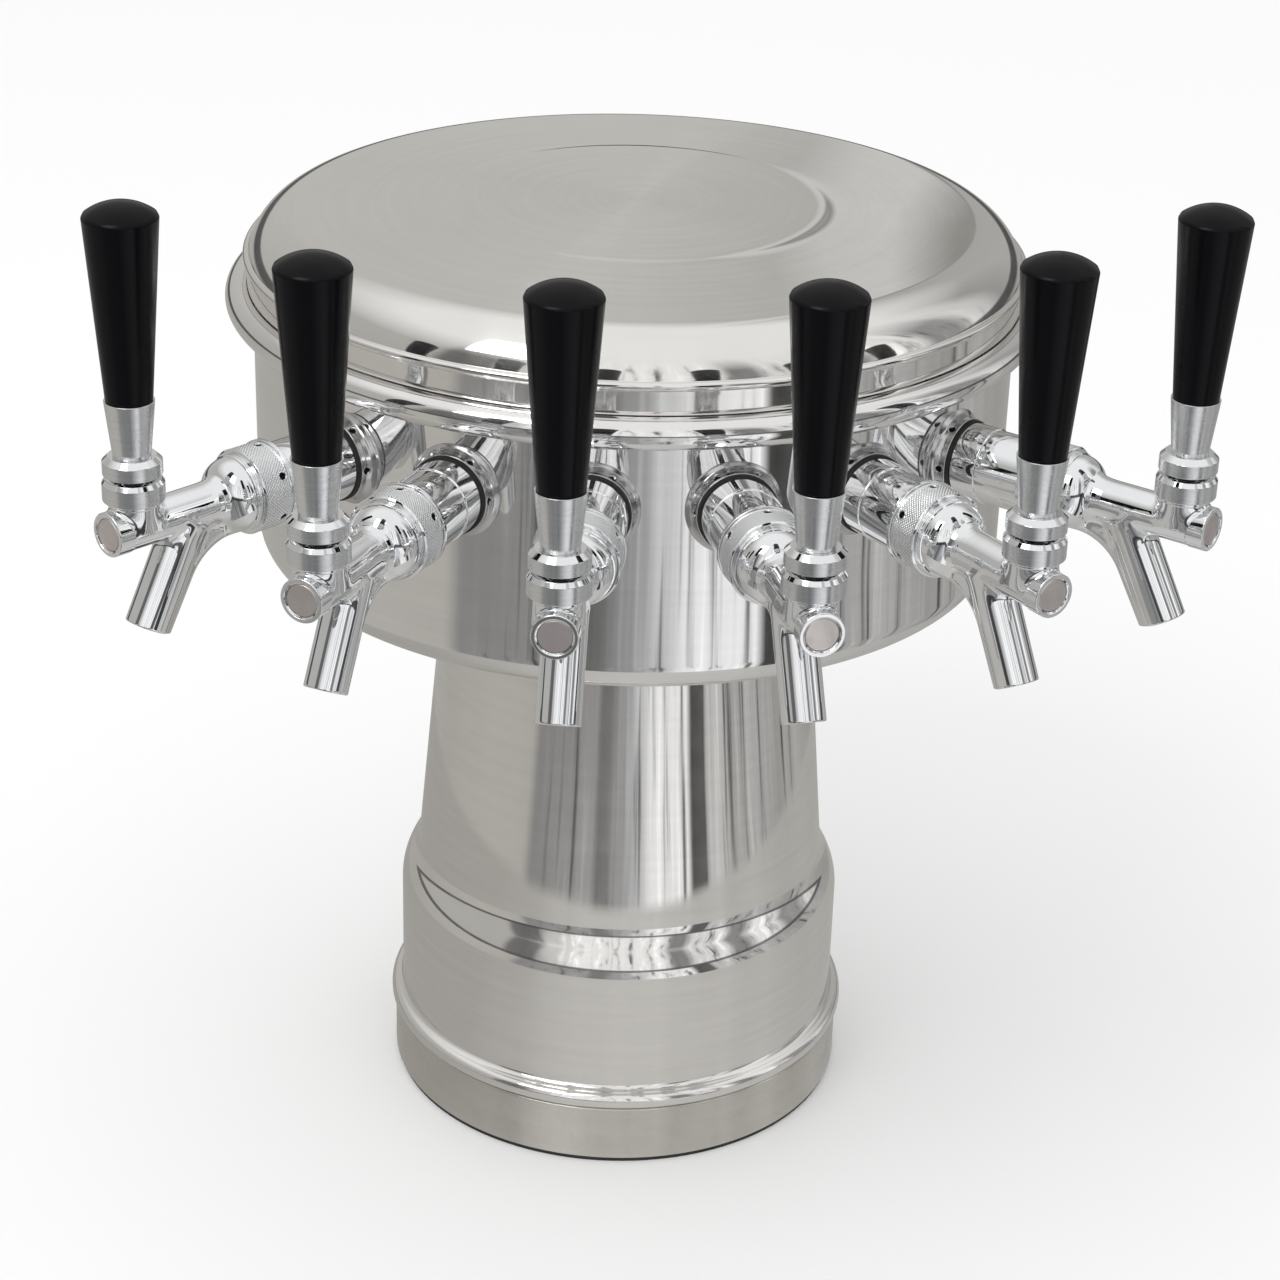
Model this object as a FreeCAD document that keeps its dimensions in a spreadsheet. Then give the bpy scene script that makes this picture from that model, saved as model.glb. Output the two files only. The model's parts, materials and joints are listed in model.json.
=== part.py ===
import FreeCAD, Part
import math
import os

import Sketcher
from FreeCAD import Placement, Rotation, Vector

# Beer tap tower: a drum head on a tapered column, with identical faucets fanned
# round the front.  Millimetres, +Z up, origin at the centre of the underside of
# the base, and the middle of the fan of taps faces -Y.
#
# Each tap has a frame of its own.  Its origin is where the handle's axis crosses
# the axis of the shank, its +X points away from the tower and its +Z points up.
# Sizes whose names start with x_ or z_ are places in that frame.
#
# Every size is a sum of names and numbers such as "drum_radius - 0.5*gauge".  It is
# read from the sheet to place things, and bound as an expression wherever a feature
# or a sketch has a property for it.

SIZES = [
    ("tap_count", 6),            # taps in the fan
    ("tap_pitch", 19.5),         # degrees between neighbouring taps
    ("tap_reach", 270),          # tower axis to handle axis
    ("tap_height", 350.4),       # counter to shank axis
    ("gauge", 1.2),              # thickness of the spun sheet
    ("play", 0.05),              # radial clearance of a running or screwed fit
    ("edge", 0.4),               # small chamfers on turned parts
    # drum
    ("drum_radius", 165),
    ("drum_floor", 268),
    ("drum_corner", 14),
    ("drum_hole", 60),           # radius of the hole in the floor, for the lines
    ("rim_bead", 6.5),           # radius of the rolled rim
    ("rim_top", 391),
    ("rim_tuck", 3.76),          # the bead meets the wall this far below its centre
    # lid
    ("lid_radius", 166.4),
    ("lid_skirt", 167.4),        # radius of the band below the step bead
    ("lid_seat", 390.6),         # height of the lid's lower edge
    ("lid_bead", 1.7),           # radius of the step bead
    ("lid_bead_crown", 2.3),     # radius of its upper half
    ("lid_bead_height", 402.6),
    ("lid_bead_radius", 167.2),
    ("lid_top", 421),            # height where the shoulder ends
    ("lid_round", 24),           # radius of the shoulder
    ("lid_shoulder", 22.86),     # width of the shoulder
    ("lid_dome", 2.6),           # rise from the shoulder to the raised disc
    ("lid_disc", 82),            # radius of the raised disc in the middle
    ("lid_disc_step", 0.8),
    ("lid_spigot", 163.3),       # radius of the ring that drops inside the drum
    ("lid_spigot_depth", 7),
    # column
    ("column_top_radius", 81.3),
    ("column_waist_radius", 94.974),
    ("column_waist", 111.665),
    ("shoulder_turn_radius", 96.196),
    ("shoulder_turn", 108.806),
    ("shoulder_corner", 5),
    ("shoulder_round", 27),
    ("shoulder_foot", 91),
    ("skirt_radius", 102.9),
    ("foot_bead", 4.2),
    ("foot_bead_radius", 108.3), # outermost radius of the bead
    ("foot_bead_fillet", 3.1),
    # base
    ("base_radius", 106.5),
    ("base_height", 28.8),
    ("base_wall", 1.5),
    ("base_plate", 3),
    ("base_spigot", 11),         # height of the spigot inside the skirt
    ("gasket_thickness", 2),
    ("gasket_radius", 105.5),
    ("bolt_circle", 84),         # radius of the circle of mounting holes
    ("bolt_hole", 3.5),
    ("bolt_count", 4),
    ("bolt_turn", 45),           # degrees from +X to the first bolt
    # joint between drum and column
    ("neck_ring_thickness", 4),
    ("neck_ring_radius", 78),
    ("neck_screw_circle", 69),
    ("neck_screw_count", 6),
    ("neck_screw_turn", 30),     # degrees from +X to the first screw
    ("neck_screw_radius", 2.5),
    ("neck_head_radius", 4.4),
    ("neck_head_height", 2.8),
    # shank and what surrounds it, from the drum outwards
    ("x_wall", -105),
    ("x_collar_holes", -101.4),
    ("x_collar_land", -101),
    ("x_collar", -99),
    ("x_ring", -97.4),
    ("x_sleeve_step", -86),
    ("x_nut_rear", -65.5),
    ("x_nut_rim", -63.6),        # front edge of the nut's smooth rim
    ("x_groove_rear", -63.4),
    ("x_lip", -63),
    ("x_flange_rear", -62.9),
    ("x_groove_front", -62.8),
    ("x_knurl_rear", -62.6),
    ("x_flange_front", -60.5),
    ("x_nut_holes", -60.3),
    ("x_nut_front", -50),
    ("collar_foot", 19.6),
    ("collar_flare", 5),
    ("collar_saddle", 3),        # how far the blank reaches into the drum's curve
    ("collar_radius", 16.9),
    ("ring_radius", 16.4),
    ("sleeve_rear_radius", 15.7),
    ("sleeve_front_radius", 15.2),
    ("nut_radius", 17.3),
    ("nut_rim_radius", 17.8),
    ("nut_groove_radius", 16.7),
    ("spanner_hole", 1.4),
    ("spanner_sink", 2),         # depth of a spanner hole
    ("spanner_count", 6),
    ("shank_radius", 11.1),
    ("shank_flange", 14.2),
    ("shank_bore", 3.2),
    ("shank_counterbore", 8.6),
    ("x_counterbore", -74),
    ("x_shank_rear", -140),
    ("thread_radius", 14.3),
    ("locknut_corner", 18.4),
    ("locknut_thickness", 7),
    ("x_locknut", -107.1),
    # line from the shank to the base
    ("tail_radius", 3.15),
    ("tail_bore", 2),
    ("tail_collar", 9),
    ("tail_collar_width", 4),
    ("tail_bend", 12),
    ("x_tail_bend", -146),
    ("z_tail_end", -38),
    ("hose_radius", 5.5),
    ("hose_bore", 3.2),
    ("z_hose_top", -22),
    ("hose_bend", 22),
    ("hose_drop_radius", 48),    # tower axis to the part that runs down the column
    ("line_end_height", 12),
    # coolant tube
    ("coolant_radius", 4.75),
    ("coolant_wall", 1),
    ("coolant_ring", 140),
    ("coolant_bend", 26),
    ("coolant_turn", 20),
    ("coolant_leg_x", 14),
    ("coolant_leg_y", 44),
    # faucet body
    ("x_rear", -60.4),
    ("x_bell", -50),
    ("x_bell_rim", -47.6),
    ("bell_radius", 15.6),
    ("bell_shoulder", 14.9),
    ("x_bell_turn", -40),
    ("bell_turn_radius", 10.6),
    ("bell_crown", 10),          # radius of the bell's dome
    ("bell_throat", 9),          # radius of the curve from dome to barrel
    ("x_barrel", -33),
    ("barrel_radius", 8.5),
    ("x_boss_rear", 6),
    ("boss_radius", 8.8),
    ("x_face", 13.2),
    ("body_bore", 6.55),
    ("seat_recess", 10.2),
    ("x_seat", -52),
    ("neck_radius", 9.65),
    ("neck_lip_radius", 10.4),
    ("z_neck_lip", 10.4),
    ("z_neck", 11.4),
    ("neck_thread", 8.6),
    ("z_neck_top", 15),
    ("socket_pocket", 7.6),      # radius of the pocket below the ball
    ("z_pocket", 4),
    ("z_pocket_top", 7),
    ("socket_seat", 5.5),        # radius of the ledge under the ball
    ("z_socket_seat", 9.55),
    ("web_thickness", 9),
    ("x_web_spout", -9.2),       # on the spout's axis
    ("z_web_spout", -30.9),
    ("x_web_foot", -16.1),       # rear corner at the spout
    ("z_web_foot", -35.2),
    ("x_web_heel", -27.6),       # where the rounded heel begins
    ("z_web_heel", -23.6),
    ("web_heel", 16),            # radius of the heel
    ("spout_radius", 8.5),
    ("spout_bore_radius", 6.1),
    ("spout_lean", 28),          # degrees from vertical, tip outwards
    ("x_spout_tip", -2.6),
    ("z_spout_tip", -43.2),
    ("spout_length", 44),
    # lever and what rides on it
    ("z_ball", 13),
    ("ball_radius", 6.45),
    ("tip_radius", 2.4),
    ("finger_radius", 2),
    ("stem_radius", 3.2),
    ("stud_radius", 4.7),
    ("z_stem_top", 24.5),
    ("z_stud", 26.5),
    ("z_stud_top", 43),
    ("z_collar_bottom", 22),
    ("z_collar_bevel", 27.6),
    ("z_ferrule", 29.5),
    ("z_grip", 51.6),
    ("z_grip_rim", 123.2),
    ("z_grip_top", 128.4),
    ("lever_collar_radius", 11.5),
    ("lever_collar_crest", 9.3),
    ("collar_cup", 14),          # radius of the hollow under the lever collar
    ("ferrule_foot", 7.5),
    ("ferrule_head", 9.7),
    ("grip_foot", 9),
    ("grip_head", 14.4),
    ("grip_dome", 22.54),
    ("grip_socket", 20),         # depth of the hole in the grip
    ("ferrule_stud", 18),        # length of the ferrule's stud in it
    # bonnet and friction washer
    ("bonnet_radius", 12),
    ("z_bonnet", 11.5),
    ("z_bonnet_top", 20.3),
    ("z_bonnet_bevel", 18.6),
    ("bonnet_crest", 10.8),
    ("bonnet_lip", 7.2),
    ("z_bonnet_lip", 16.3),
    ("z_bonnet_cone", 17.5),     # where the mouth starts to open out
    ("bonnet_mouth", 9.1),
    ("washer_hole", 6.25),
    ("z_washer", 15.05),
    ("washer_thickness", 1.15),
    # plunger
    ("x_plunger_face", 12.7),
    ("x_guide", 6.7),
    ("guide_radius", 6.5),
    ("rod_radius", 4.5),
    ("x_rod", -8),
    ("thin_rod_radius", 3),
    ("seal_plate", 4),           # radius of the plate in front of the seal
    ("seal_plate_width", 2),
    ("x_seal_front", -52.1),
    ("seal_thickness", 3),
    ("seal_radius", 7.9),
    ("seal_neck", 2.5),
    ("head_radius", 4.2),
    ("head_thickness", 1.6),
    ("slot_half_length", 2.75),
    ("slot_half_width", 2.6),
    ("z_slot_floor", -2.7),
    ("z_slot_flare", 2.6),
    ("z_slot_top", 5),
    ("slot_mouth", 5.15),        # reach of the flare towards the front
]

DOC = FreeCAD.newDocument("tap_tower")
SHEET = DOC.addObject("Spreadsheet::Sheet", "Sizes")
NODES = []


def fill_sheet():
    """Write every driving size into the sheet under its own name."""
    for row, (name, size) in enumerate(SIZES, start=1):
        SHEET.set("A%d" % row, name)
        SHEET.set("B%d" % row, str(size))
        SHEET.setAlias("B%d" % row, name)
    DOC.recompute()


def size_of(text):
    """Value of a sum such as 'drum_radius - 0.5*gauge', read from the sheet."""
    total = 0.0
    sign = 1.0
    for word in text.split():
        if word in ("+", "-"):
            sign = 1.0 if word == "+" else -1.0
            continue
        factor, _, name = word.rpartition("*")
        value = float(name) if name[0].isdigit() else float(SHEET.get(name))
        total += sign * value * (float(factor) if factor else 1.0)
    return total


def formula(text):
    """The same sum as an expression that reads the sheet's cells."""
    words = []
    for word in text.split():
        factor, star, name = word.rpartition("*")
        if name not in ("+", "-") and not name[0].isdigit():
            name = "Sizes." + name
        words.append(factor + star + name)
    return " ".join(words)


def bind(thing, **sizes):
    """Bind properties of an object to sums of the sheet's sizes."""
    for prop, text in sizes.items():
        thing.setExpression(prop, formula(text))


def add_node(thing, label):
    """Give a finished sub-part its name and remember it for export."""
    thing.Label = label
    NODES.append(thing)
    return thing


def taps():
    """Numbers of the taps, from left to right."""
    return range(1, int(size_of("tap_count")) + 1)


def tap_angle(tap):
    """Degrees from +X to the way a tap points."""
    middle = (size_of("tap_count") + 1) / 2
    return -90 + (tap - middle) * size_of("tap_pitch")


def tap_frame(tap):
    """Placement of a tap's own frame."""
    turn = Rotation(Vector(0, 0, 1), tap_angle(tap))
    origin = turn.multVec(Vector(size_of("tap_reach"), 0, size_of("tap_height")))
    return Placement(origin, turn)


# ---------------------------------------------------------------- sketches

def new_body(name, place=None):
    """An empty body, placed in a tap's frame when one is given."""
    body = DOC.addObject("PartDesign::Body", name)
    if place is not None:
        body.Placement = place
    return body


def origin_feature(body, role):
    """One of the body's own origin planes or axes."""
    for feature in body.Origin.OriginFeatures:
        if feature.Role == role:
            return feature
    raise ValueError(role)


def new_sketch(body, name, role, offset=None):
    """A sketch on one of the body's origin planes."""
    sketch = body.newObject("Sketcher::SketchObject", name)
    sketch.AttachmentSupport = [(origin_feature(body, role), "")]
    sketch.MapMode = "FlatFace"
    if offset is not None:
        sketch.AttachmentOffset = offset
    return sketch


def arc_through(start, end, radius, side):
    """The short arc whose centre lies on the given side of the way from start to end.

    The sketcher runs every arc anticlockwise, so an arc with its centre on the right
    is drawn from end to start.
    """
    chord = end - start
    half = chord.Length / 2
    rise = math.sqrt(max(radius * radius - half * half, 0.0))
    left = Vector(-chord.y, chord.x, 0).normalize()
    towards = left if side == "left" else left * -1
    middle = (start + end) * 0.5 + towards * (rise - radius)
    if side == "left":
        return Part.Arc(start, middle, end)
    return Part.Arc(end, middle, start)


def pin_vertex(geometry, end, corner):
    """Constraints that hold a vertex at its two sums of sizes.

    A sum that starts with ~ is only a starting value: the arc that ends there has a
    centre of its own, and decides it.
    """
    held = []
    for kind, axis, text in (("DistanceX", -2, corner[0]), ("DistanceY", -1, corner[1])):
        if text.startswith("~"):
            continue
        if text == "0":
            held.append((Sketcher.Constraint("PointOnObject", geometry, end, axis), None))
            continue
        rule = Sketcher.Constraint(kind, -1, 1, geometry, end, size_of(text))
        held.append((rule, formula(text)))
    return held


def shape_arc(geometry, corner):
    """Constraints that shape the arc arriving at a corner."""
    held = []
    centre = corner[4] if len(corner) == 5 else None
    if centre is not None:
        held.append((Sketcher.Constraint("PointOnObject", geometry, 3, -2), None))
    if centre == "0":
        held.append((Sketcher.Constraint("PointOnObject", geometry, 3, -1), None))
    elif centre not in (None, "axis"):
        rule = Sketcher.Constraint("DistanceY", -1, 1, geometry, 3, size_of(centre))
        held.append((rule, formula(centre)))
    if centre != "axis":
        rule = Sketcher.Constraint("Radius", geometry, size_of(corner[2]))
        held.append((rule, formula(corner[2])))
    return held


def outline(sketch, corners, closed=True):
    """Draw lines and arcs from corner to corner and bind every corner to the sheet.

    A corner is (x, y), or (x, y, radius, side) when an arc arrives at it; side says
    on which side of the way from corner to corner the arc's centre lies.  A fifth
    entry puts that centre on the V axis, at the height it names; "axis" leaves the
    height and the radius to the arc's two ends.
    """
    points = [Vector(size_of(c[0].strip("~")), size_of(c[1].strip("~")), 0) for c in corners]
    count = len(corners) if closed else len(corners) - 1
    shapes = []
    ends = []
    for index in range(count):
        target = (index + 1) % len(corners)
        start, end, corner = points[index], points[target], corners[target]
        turned_back = len(corner) > 2 and corner[3] == "right"
        ends.append((2, 1) if turned_back else (1, 2))
        if len(corner) > 2:
            shapes.append(arc_through(start, end, size_of(corner[2]), corner[3]))
        else:
            shapes.append(Part.LineSegment(start, end))
    sketch.addGeometry(shapes, False)
    rules = []
    for index in range(count):
        target = (index + 1) % len(corners)
        rules += pin_vertex(index, ends[index][0], corners[index])
        if closed or index + 1 < count:
            joined = Sketcher.Constraint(
                "Coincident", index, ends[index][1], target, ends[target][0])
            rules.append((joined, None))
        else:
            rules += pin_vertex(index, ends[index][1], corners[target])
        if len(corners[target]) > 2:
            rules += shape_arc(index, corners[target])
    sketch.addConstraint([rule for rule, _ in rules])
    for number, (_, text) in enumerate(rules):
        if text is not None:
            sketch.setExpression("Constraints[%d]" % number, text)


def ring_outline(sketch, radius):
    """Draw a circle about the sketch's origin with its radius bound to the sheet."""
    circle = Part.Circle(Vector(0, 0, 0), Vector(0, 0, 1), size_of(radius))
    number = sketch.addGeometry(circle, False)
    sketch.addConstraint(Sketcher.Constraint("Coincident", number, 3, -1, 1))
    index = sketch.addConstraint(Sketcher.Constraint("Radius", number, size_of(radius)))
    sketch.setExpression("Constraints[%d]" % index, formula(radius))


# ---------------------------------------------------------------- features

def revolve(body, name, corners, axis):
    """Turn an outline in the body's XZ plane about that plane's H or V axis."""
    sketch = new_sketch(body, name + "_outline", "XZ_Plane")
    outline(sketch, corners)
    turn = body.newObject("PartDesign::Revolution", name)
    turn.Profile = sketch
    turn.ReferenceAxis = (sketch, [axis + "_Axis"])
    turn.Angle = 360
    return turn


def groove(body, name, corners, axis):
    """Turn an outline about an axis and take it away from the body."""
    sketch = new_sketch(body, name + "_outline", "XZ_Plane")
    outline(sketch, corners)
    turn = body.newObject("PartDesign::Groove", name)
    turn.Profile = sketch
    turn.ReferenceAxis = (sketch, [axis + "_Axis"])
    turn.Angle = 360
    return turn


def turned(name, corners, axis, place=None):
    """A body that is one turned piece."""
    body = new_body(name, place)
    revolve(body, "turned", corners, axis)
    return body


def cylinder(name, radius, height, place):
    """A cylinder along the local Z of its placement, bound to the sheet."""
    rod = DOC.addObject("Part::Cylinder", name)
    bind(rod, Radius=radius, Height=height)
    rod.Placement = place
    return rod


def group(name, members):
    """Several solids as one object."""
    bundle = DOC.addObject("Part::Compound", name)
    bundle.Links = members
    return bundle


def cut(name, base, tool):
    """One object less another."""
    result = DOC.addObject("Part::Cut", name)
    result.Base = base
    result.Tool = tool
    return result


def tube_shell(name, outer, inner, low, high, place=None):
    """A plain ring about the V axis."""
    corners = [(inner, low), (outer, low), (outer, high), (inner, high)]
    return turned(name, corners, "V", place)


def one_per_tap(label, maker):
    """A single node that holds one identical solid for every tap."""
    return add_node(group(label, [maker(tap) for tap in taps()]), label)


def around(kind, radius, height):
    """Placements on a circle about the tower's axis, by the kind's own count and turn."""
    number = int(size_of(kind + "_count"))
    places = []
    for index in range(number):
        angle = size_of(kind + "_turn") + 360.0 * index / number
        turn = Rotation(Vector(0, 0, 1), angle)
        spot = turn.multVec(Vector(size_of(radius), 0, size_of(height)))
        places.append(Placement(spot, turn))
    return places


# ---------------------------------------------------------------- tower shells

def drum_shell():
    """Drum with a rolled rim, a hole in its floor and one hole for each shank."""
    bead = "drum_radius - gauge + rim_bead"
    bead_height = "rim_top - rim_bead"
    body = turned("drum", [
        ("drum_hole", "drum_floor"),
        ("drum_radius - drum_corner", "drum_floor"),
        ("drum_radius", "drum_floor + drum_corner", "drum_corner", "left"),
        ("drum_radius", bead_height + " - rim_tuck"),
        (bead + " + rim_bead", bead_height, "rim_bead", "left"),
        (bead, "rim_top", "rim_bead", "left"),
        ("drum_radius - gauge", bead_height, "rim_bead", "left"),
        ("drum_radius - gauge", "drum_floor + drum_corner"),
        ("drum_radius - drum_corner", "drum_floor + gauge", "drum_corner - gauge", "right"),
        ("drum_hole", "drum_floor + gauge"),
    ], "V")
    drills = [shank_drill(tap) for tap in taps()]
    drills += [
        cylinder("floor_drill", "neck_screw_radius + play", "4*gauge", place)
        for place in around("neck_screw", "neck_screw_circle", "drum_floor - 2*gauge")
    ]
    add_node(cut("drum_shell", body, group("drum_drills", drills)), "drum_shell")


def shank_drill(tap):
    """The hole that a shank needs in the drum's wall."""
    along = Placement(Vector(size_of("x_wall - 5*gauge"), 0, 0), Rotation(Vector(0, 1, 0), 90))
    return cylinder("wall_drill", "shank_radius + play", "10*gauge", tap_frame(tap) * along)


def lid():
    """Spun lid: raised disc, rounded shoulder, step bead, skirt and locating spigot."""
    body = turned("lid", [
        ("0", "lid_top + lid_dome + 2*lid_disc_step"),
        ("0", "lid_top + lid_dome + 2*lid_disc_step - gauge"),
        ("lid_disc - gauge", "lid_top + lid_dome + 1.6*lid_disc_step - gauge"),
        ("lid_disc + gauge", "lid_top + lid_dome + 0.8*lid_disc_step - gauge"),
        ("lid_radius - lid_shoulder", "lid_top - gauge"),
        ("lid_radius - gauge", "lid_bead_height + lid_bead", "lid_round - gauge", "right"),
        ("lid_radius - gauge", "lid_seat + gauge"),
        ("lid_spigot - gauge", "lid_seat + gauge"),
        ("lid_spigot - gauge", "lid_seat - lid_spigot_depth"),
        ("lid_spigot", "lid_seat - lid_spigot_depth"),
        ("lid_spigot", "lid_seat"),
        ("lid_skirt", "lid_seat"),
        ("lid_skirt", "lid_bead_height - lid_bead"),
        ("lid_bead_radius + lid_bead", "lid_bead_height", "lid_bead", "left"),
        ("lid_radius", "lid_bead_height + lid_bead", "lid_bead_crown", "left"),
        ("lid_radius - lid_shoulder", "lid_top", "lid_round", "left"),
        ("lid_disc + gauge", "lid_top + lid_dome + 0.8*lid_disc_step"),
        ("lid_disc - gauge", "lid_top + lid_dome + 1.6*lid_disc_step"),
    ], "V")
    add_node(body, "lid")


def column_shell():
    """Tapered column, its shoulder, the skirt and the rolled bead at its foot."""
    body = turned("column", [
        ("drum_hole", "drum_floor - gauge"),
        ("column_top_radius - gauge", "drum_floor - gauge"),
        ("column_waist_radius - gauge", "column_waist"),
        ("shoulder_turn_radius - 0.75*gauge", "shoulder_turn - 0.66*gauge",
         "shoulder_corner + gauge", "left"),
        ("skirt_radius - gauge", "shoulder_foot", "shoulder_round - gauge", "right"),
        ("skirt_radius - gauge", "base_height"),
        ("foot_bead_radius - foot_bead", "base_height"),
        ("foot_bead_radius", "base_height + foot_bead", "foot_bead", "left"),
        ("foot_bead_radius - 0.741*foot_bead", "base_height + 1.966*foot_bead",
         "foot_bead", "left"),
        ("skirt_radius", "base_height + 2.68*foot_bead", "foot_bead_fillet", "right"),
        ("skirt_radius", "shoulder_foot"),
        ("shoulder_turn_radius", "shoulder_turn", "shoulder_round", "left"),
        ("column_waist_radius", "column_waist", "shoulder_corner", "right"),
        ("column_top_radius", "drum_floor - gauge"),
        ("column_top_radius - gauge", "drum_floor", "gauge", "left"),
        ("drum_hole", "drum_floor"),
    ], "V")
    drills = [
        cylinder("flange_drill", "neck_screw_radius + play", "3*gauge", place)
        for place in around("neck_screw", "neck_screw_circle", "drum_floor - 2*gauge")
    ]
    add_node(cut("column_shell", body, group("flange_drills", drills)), "column_shell")


def neck_ring():
    """Tapped ring under the column's flange, which the screws pull up."""
    body = tube_shell("ring", "neck_ring_radius", "drum_hole",
                      "drum_floor - gauge - neck_ring_thickness", "drum_floor - gauge")
    drills = [
        cylinder("ring_drill", "neck_screw_radius + play", "3*neck_ring_thickness", place)
        for place in around("neck_screw", "neck_screw_circle",
                            "drum_floor - 2*neck_ring_thickness")
    ]
    add_node(cut("neck_ring", body, group("ring_drills", drills)), "neck_ring")


def neck_screws():
    """Screws from inside the drum, through its floor, into the neck ring."""
    low = "0 - 2*gauge - neck_ring_thickness"
    screws = [
        turned("neck_screw", [
            ("0", low),
            ("neck_screw_radius", low),
            ("neck_screw_radius", "0"),
            ("neck_head_radius", "0"),
            ("neck_head_radius", "0.6*neck_head_height"),
            ("0.7*neck_head_radius", "neck_head_height"),
            ("0", "neck_head_height"),
        ], "V", place)
        for place in around("neck_screw", "neck_screw_circle", "drum_floor + gauge")
    ]
    add_node(group("neck_screws", screws), "neck_screws")


def base_holes(name, height):
    """Drills for the mounting bolts."""
    drills = [
        cylinder(name + "_drill", "bolt_hole", height, place)
        for place in around("bolt", "bolt_circle", "0 - gauge")
    ]
    return group(name + "_drills", drills)


def base_ring():
    """Mounting ring: brushed band, plate with bolt holes, spigot for the skirt."""
    body = turned("base", [
        ("drum_hole", "gasket_thickness"),
        ("base_radius", "gasket_thickness"),
        ("base_radius", "base_height"),
        ("skirt_radius - gauge - play", "base_height"),
        ("skirt_radius - gauge - play", "base_height + base_spigot"),
        ("skirt_radius - gauge - play - base_wall", "base_height + base_spigot"),
        ("skirt_radius - gauge - play - base_wall", "base_height - base_wall"),
        ("base_radius - base_wall", "base_height - base_wall"),
        ("base_radius - base_wall", "gasket_thickness + base_plate"),
        ("drum_hole", "gasket_thickness + base_plate"),
    ], "V")
    add_node(cut("base_ring", body, base_holes("base", "3*base_plate")), "base_ring")


def base_gasket():
    """Rubber gasket between the ring and the counter."""
    body = tube_shell("gasket", "gasket_radius", "drum_hole", "0", "gasket_thickness")
    add_node(cut("base_gasket", body, base_holes("gasket", "3*base_plate")), "base_gasket")


# ---------------------------------------------------------------- shank fittings

def spanner_holes(body, place_x, floor):
    """Blind radial holes round the H axis, from the floor's radius outwards."""
    drill = body.newObject("PartDesign::SubtractiveCylinder", "spanner_hole")
    bind(drill, Radius="spanner_hole", Height="2*spanner_sink")
    drill.AttachmentSupport = [(origin_feature(body, "XY_Plane"), "")]
    drill.MapMode = "FlatFace"
    drill.AttachmentOffset = Placement(Vector(size_of(place_x), 0, size_of(floor)), Rotation())
    pattern = body.newObject("PartDesign::PolarPattern", "spanner_holes")
    pattern.Originals = [drill]
    pattern.Axis = (origin_feature(body, "X_Axis"), [""])
    pattern.Angle = 360
    bind(pattern, Occurrences="spanner_count")
    body.Tip = pattern


def shank_collar(tap):
    """Flared collar with a saddle face that fits the drum's wall."""
    body = new_body("collar_blank", tap_frame(tap))
    revolve(body, "turned", [
        ("x_wall - collar_saddle", "shank_radius + play"),
        ("x_wall - collar_saddle", "collar_foot"),
        ("x_wall", "collar_foot"),
        ("x_collar_land", "collar_radius", "collar_flare", "left"),
        ("x_collar", "collar_radius"),
        ("x_collar", "shank_radius + play"),
    ], "H")
    spanner_holes(body, "x_collar_holes", "collar_radius - spanner_sink")
    return cut("shank_collar", body, saddle_tool())


def saddle_tool():
    """The drum's outer cylinder, used to shape the collars."""
    return cylinder("saddle", "drum_radius", "rim_top", Placement())


def shank_washer(tap):
    """Thin black washer between collar and sleeve."""
    return turned("shank_washer", [
        ("x_collar", "shank_radius + play"),
        ("x_collar", "ring_radius"),
        ("x_ring", "ring_radius"),
        ("x_ring", "shank_radius + play"),
    ], "H", tap_frame(tap))


def shank_sleeve(tap):
    """Chrome sleeve over the shank, in two slightly different diameters."""
    return turned("shank_sleeve", [
        ("x_ring", "shank_radius + play"),
        ("x_ring", "sleeve_rear_radius"),
        ("x_sleeve_step - edge", "sleeve_rear_radius"),
        ("x_sleeve_step", "sleeve_front_radius"),
        ("x_nut_rear - play", "sleeve_front_radius"),
        ("x_nut_rear - play", "shank_radius + play"),
    ], "H", tap_frame(tap))


def shank(tap):
    """Threaded tube through the drum's wall, flanged at the faucet's end."""
    return turned("shank", [
        ("x_shank_rear", "shank_bore"),
        ("x_shank_rear", "shank_radius"),
        ("x_flange_rear", "shank_radius"),
        ("x_flange_rear", "shank_flange"),
        ("x_flange_front", "shank_flange"),
        ("x_flange_front", "shank_counterbore"),
        ("x_counterbore", "shank_counterbore"),
        ("x_counterbore", "shank_bore"),
    ], "H", tap_frame(tap))


def coupling_nut(tap):
    """Captive nut that pulls the faucet onto the shank, with spanner holes."""
    body = new_body("coupling_nut", tap_frame(tap))
    revolve(body, "turned", [
        ("x_nut_rear", "shank_radius + 4*play"),
        ("x_nut_rear", "nut_rim_radius - edge"),
        ("x_nut_rear + edge", "nut_rim_radius"),
        ("x_nut_rim", "nut_rim_radius"),
        ("x_groove_rear", "nut_groove_radius"),
        ("x_groove_front", "nut_groove_radius"),
        ("x_knurl_rear", "nut_radius"),
        ("x_nut_front - 2*edge", "nut_radius"),
        ("x_nut_front", "nut_radius - 2*edge"),
        ("x_nut_front", "thread_radius + play"),
        ("x_lip", "thread_radius + play"),
        ("x_lip", "shank_radius + 4*play"),
    ], "H")
    spanner_holes(body, "x_nut_holes", "nut_radius - spanner_sink")
    return body


def shank_locknut(tap):
    """Hexagon nut on the shank inside the drum."""
    rear = Placement(Vector(size_of("x_locknut - locknut_thickness"), 0, 0),
                     Rotation(Vector(0, 1, 0), 90))
    hexagon = DOC.addObject("Part::Prism", "hexagon")
    hexagon.Polygon = 6
    bind(hexagon, Circumradius="locknut_corner", Height="locknut_thickness")
    hexagon.Placement = tap_frame(tap) * rear
    hole = cylinder("hole", "shank_radius + play", "locknut_thickness", hexagon.Placement)
    return cut("locknut", hexagon, hole)


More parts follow.
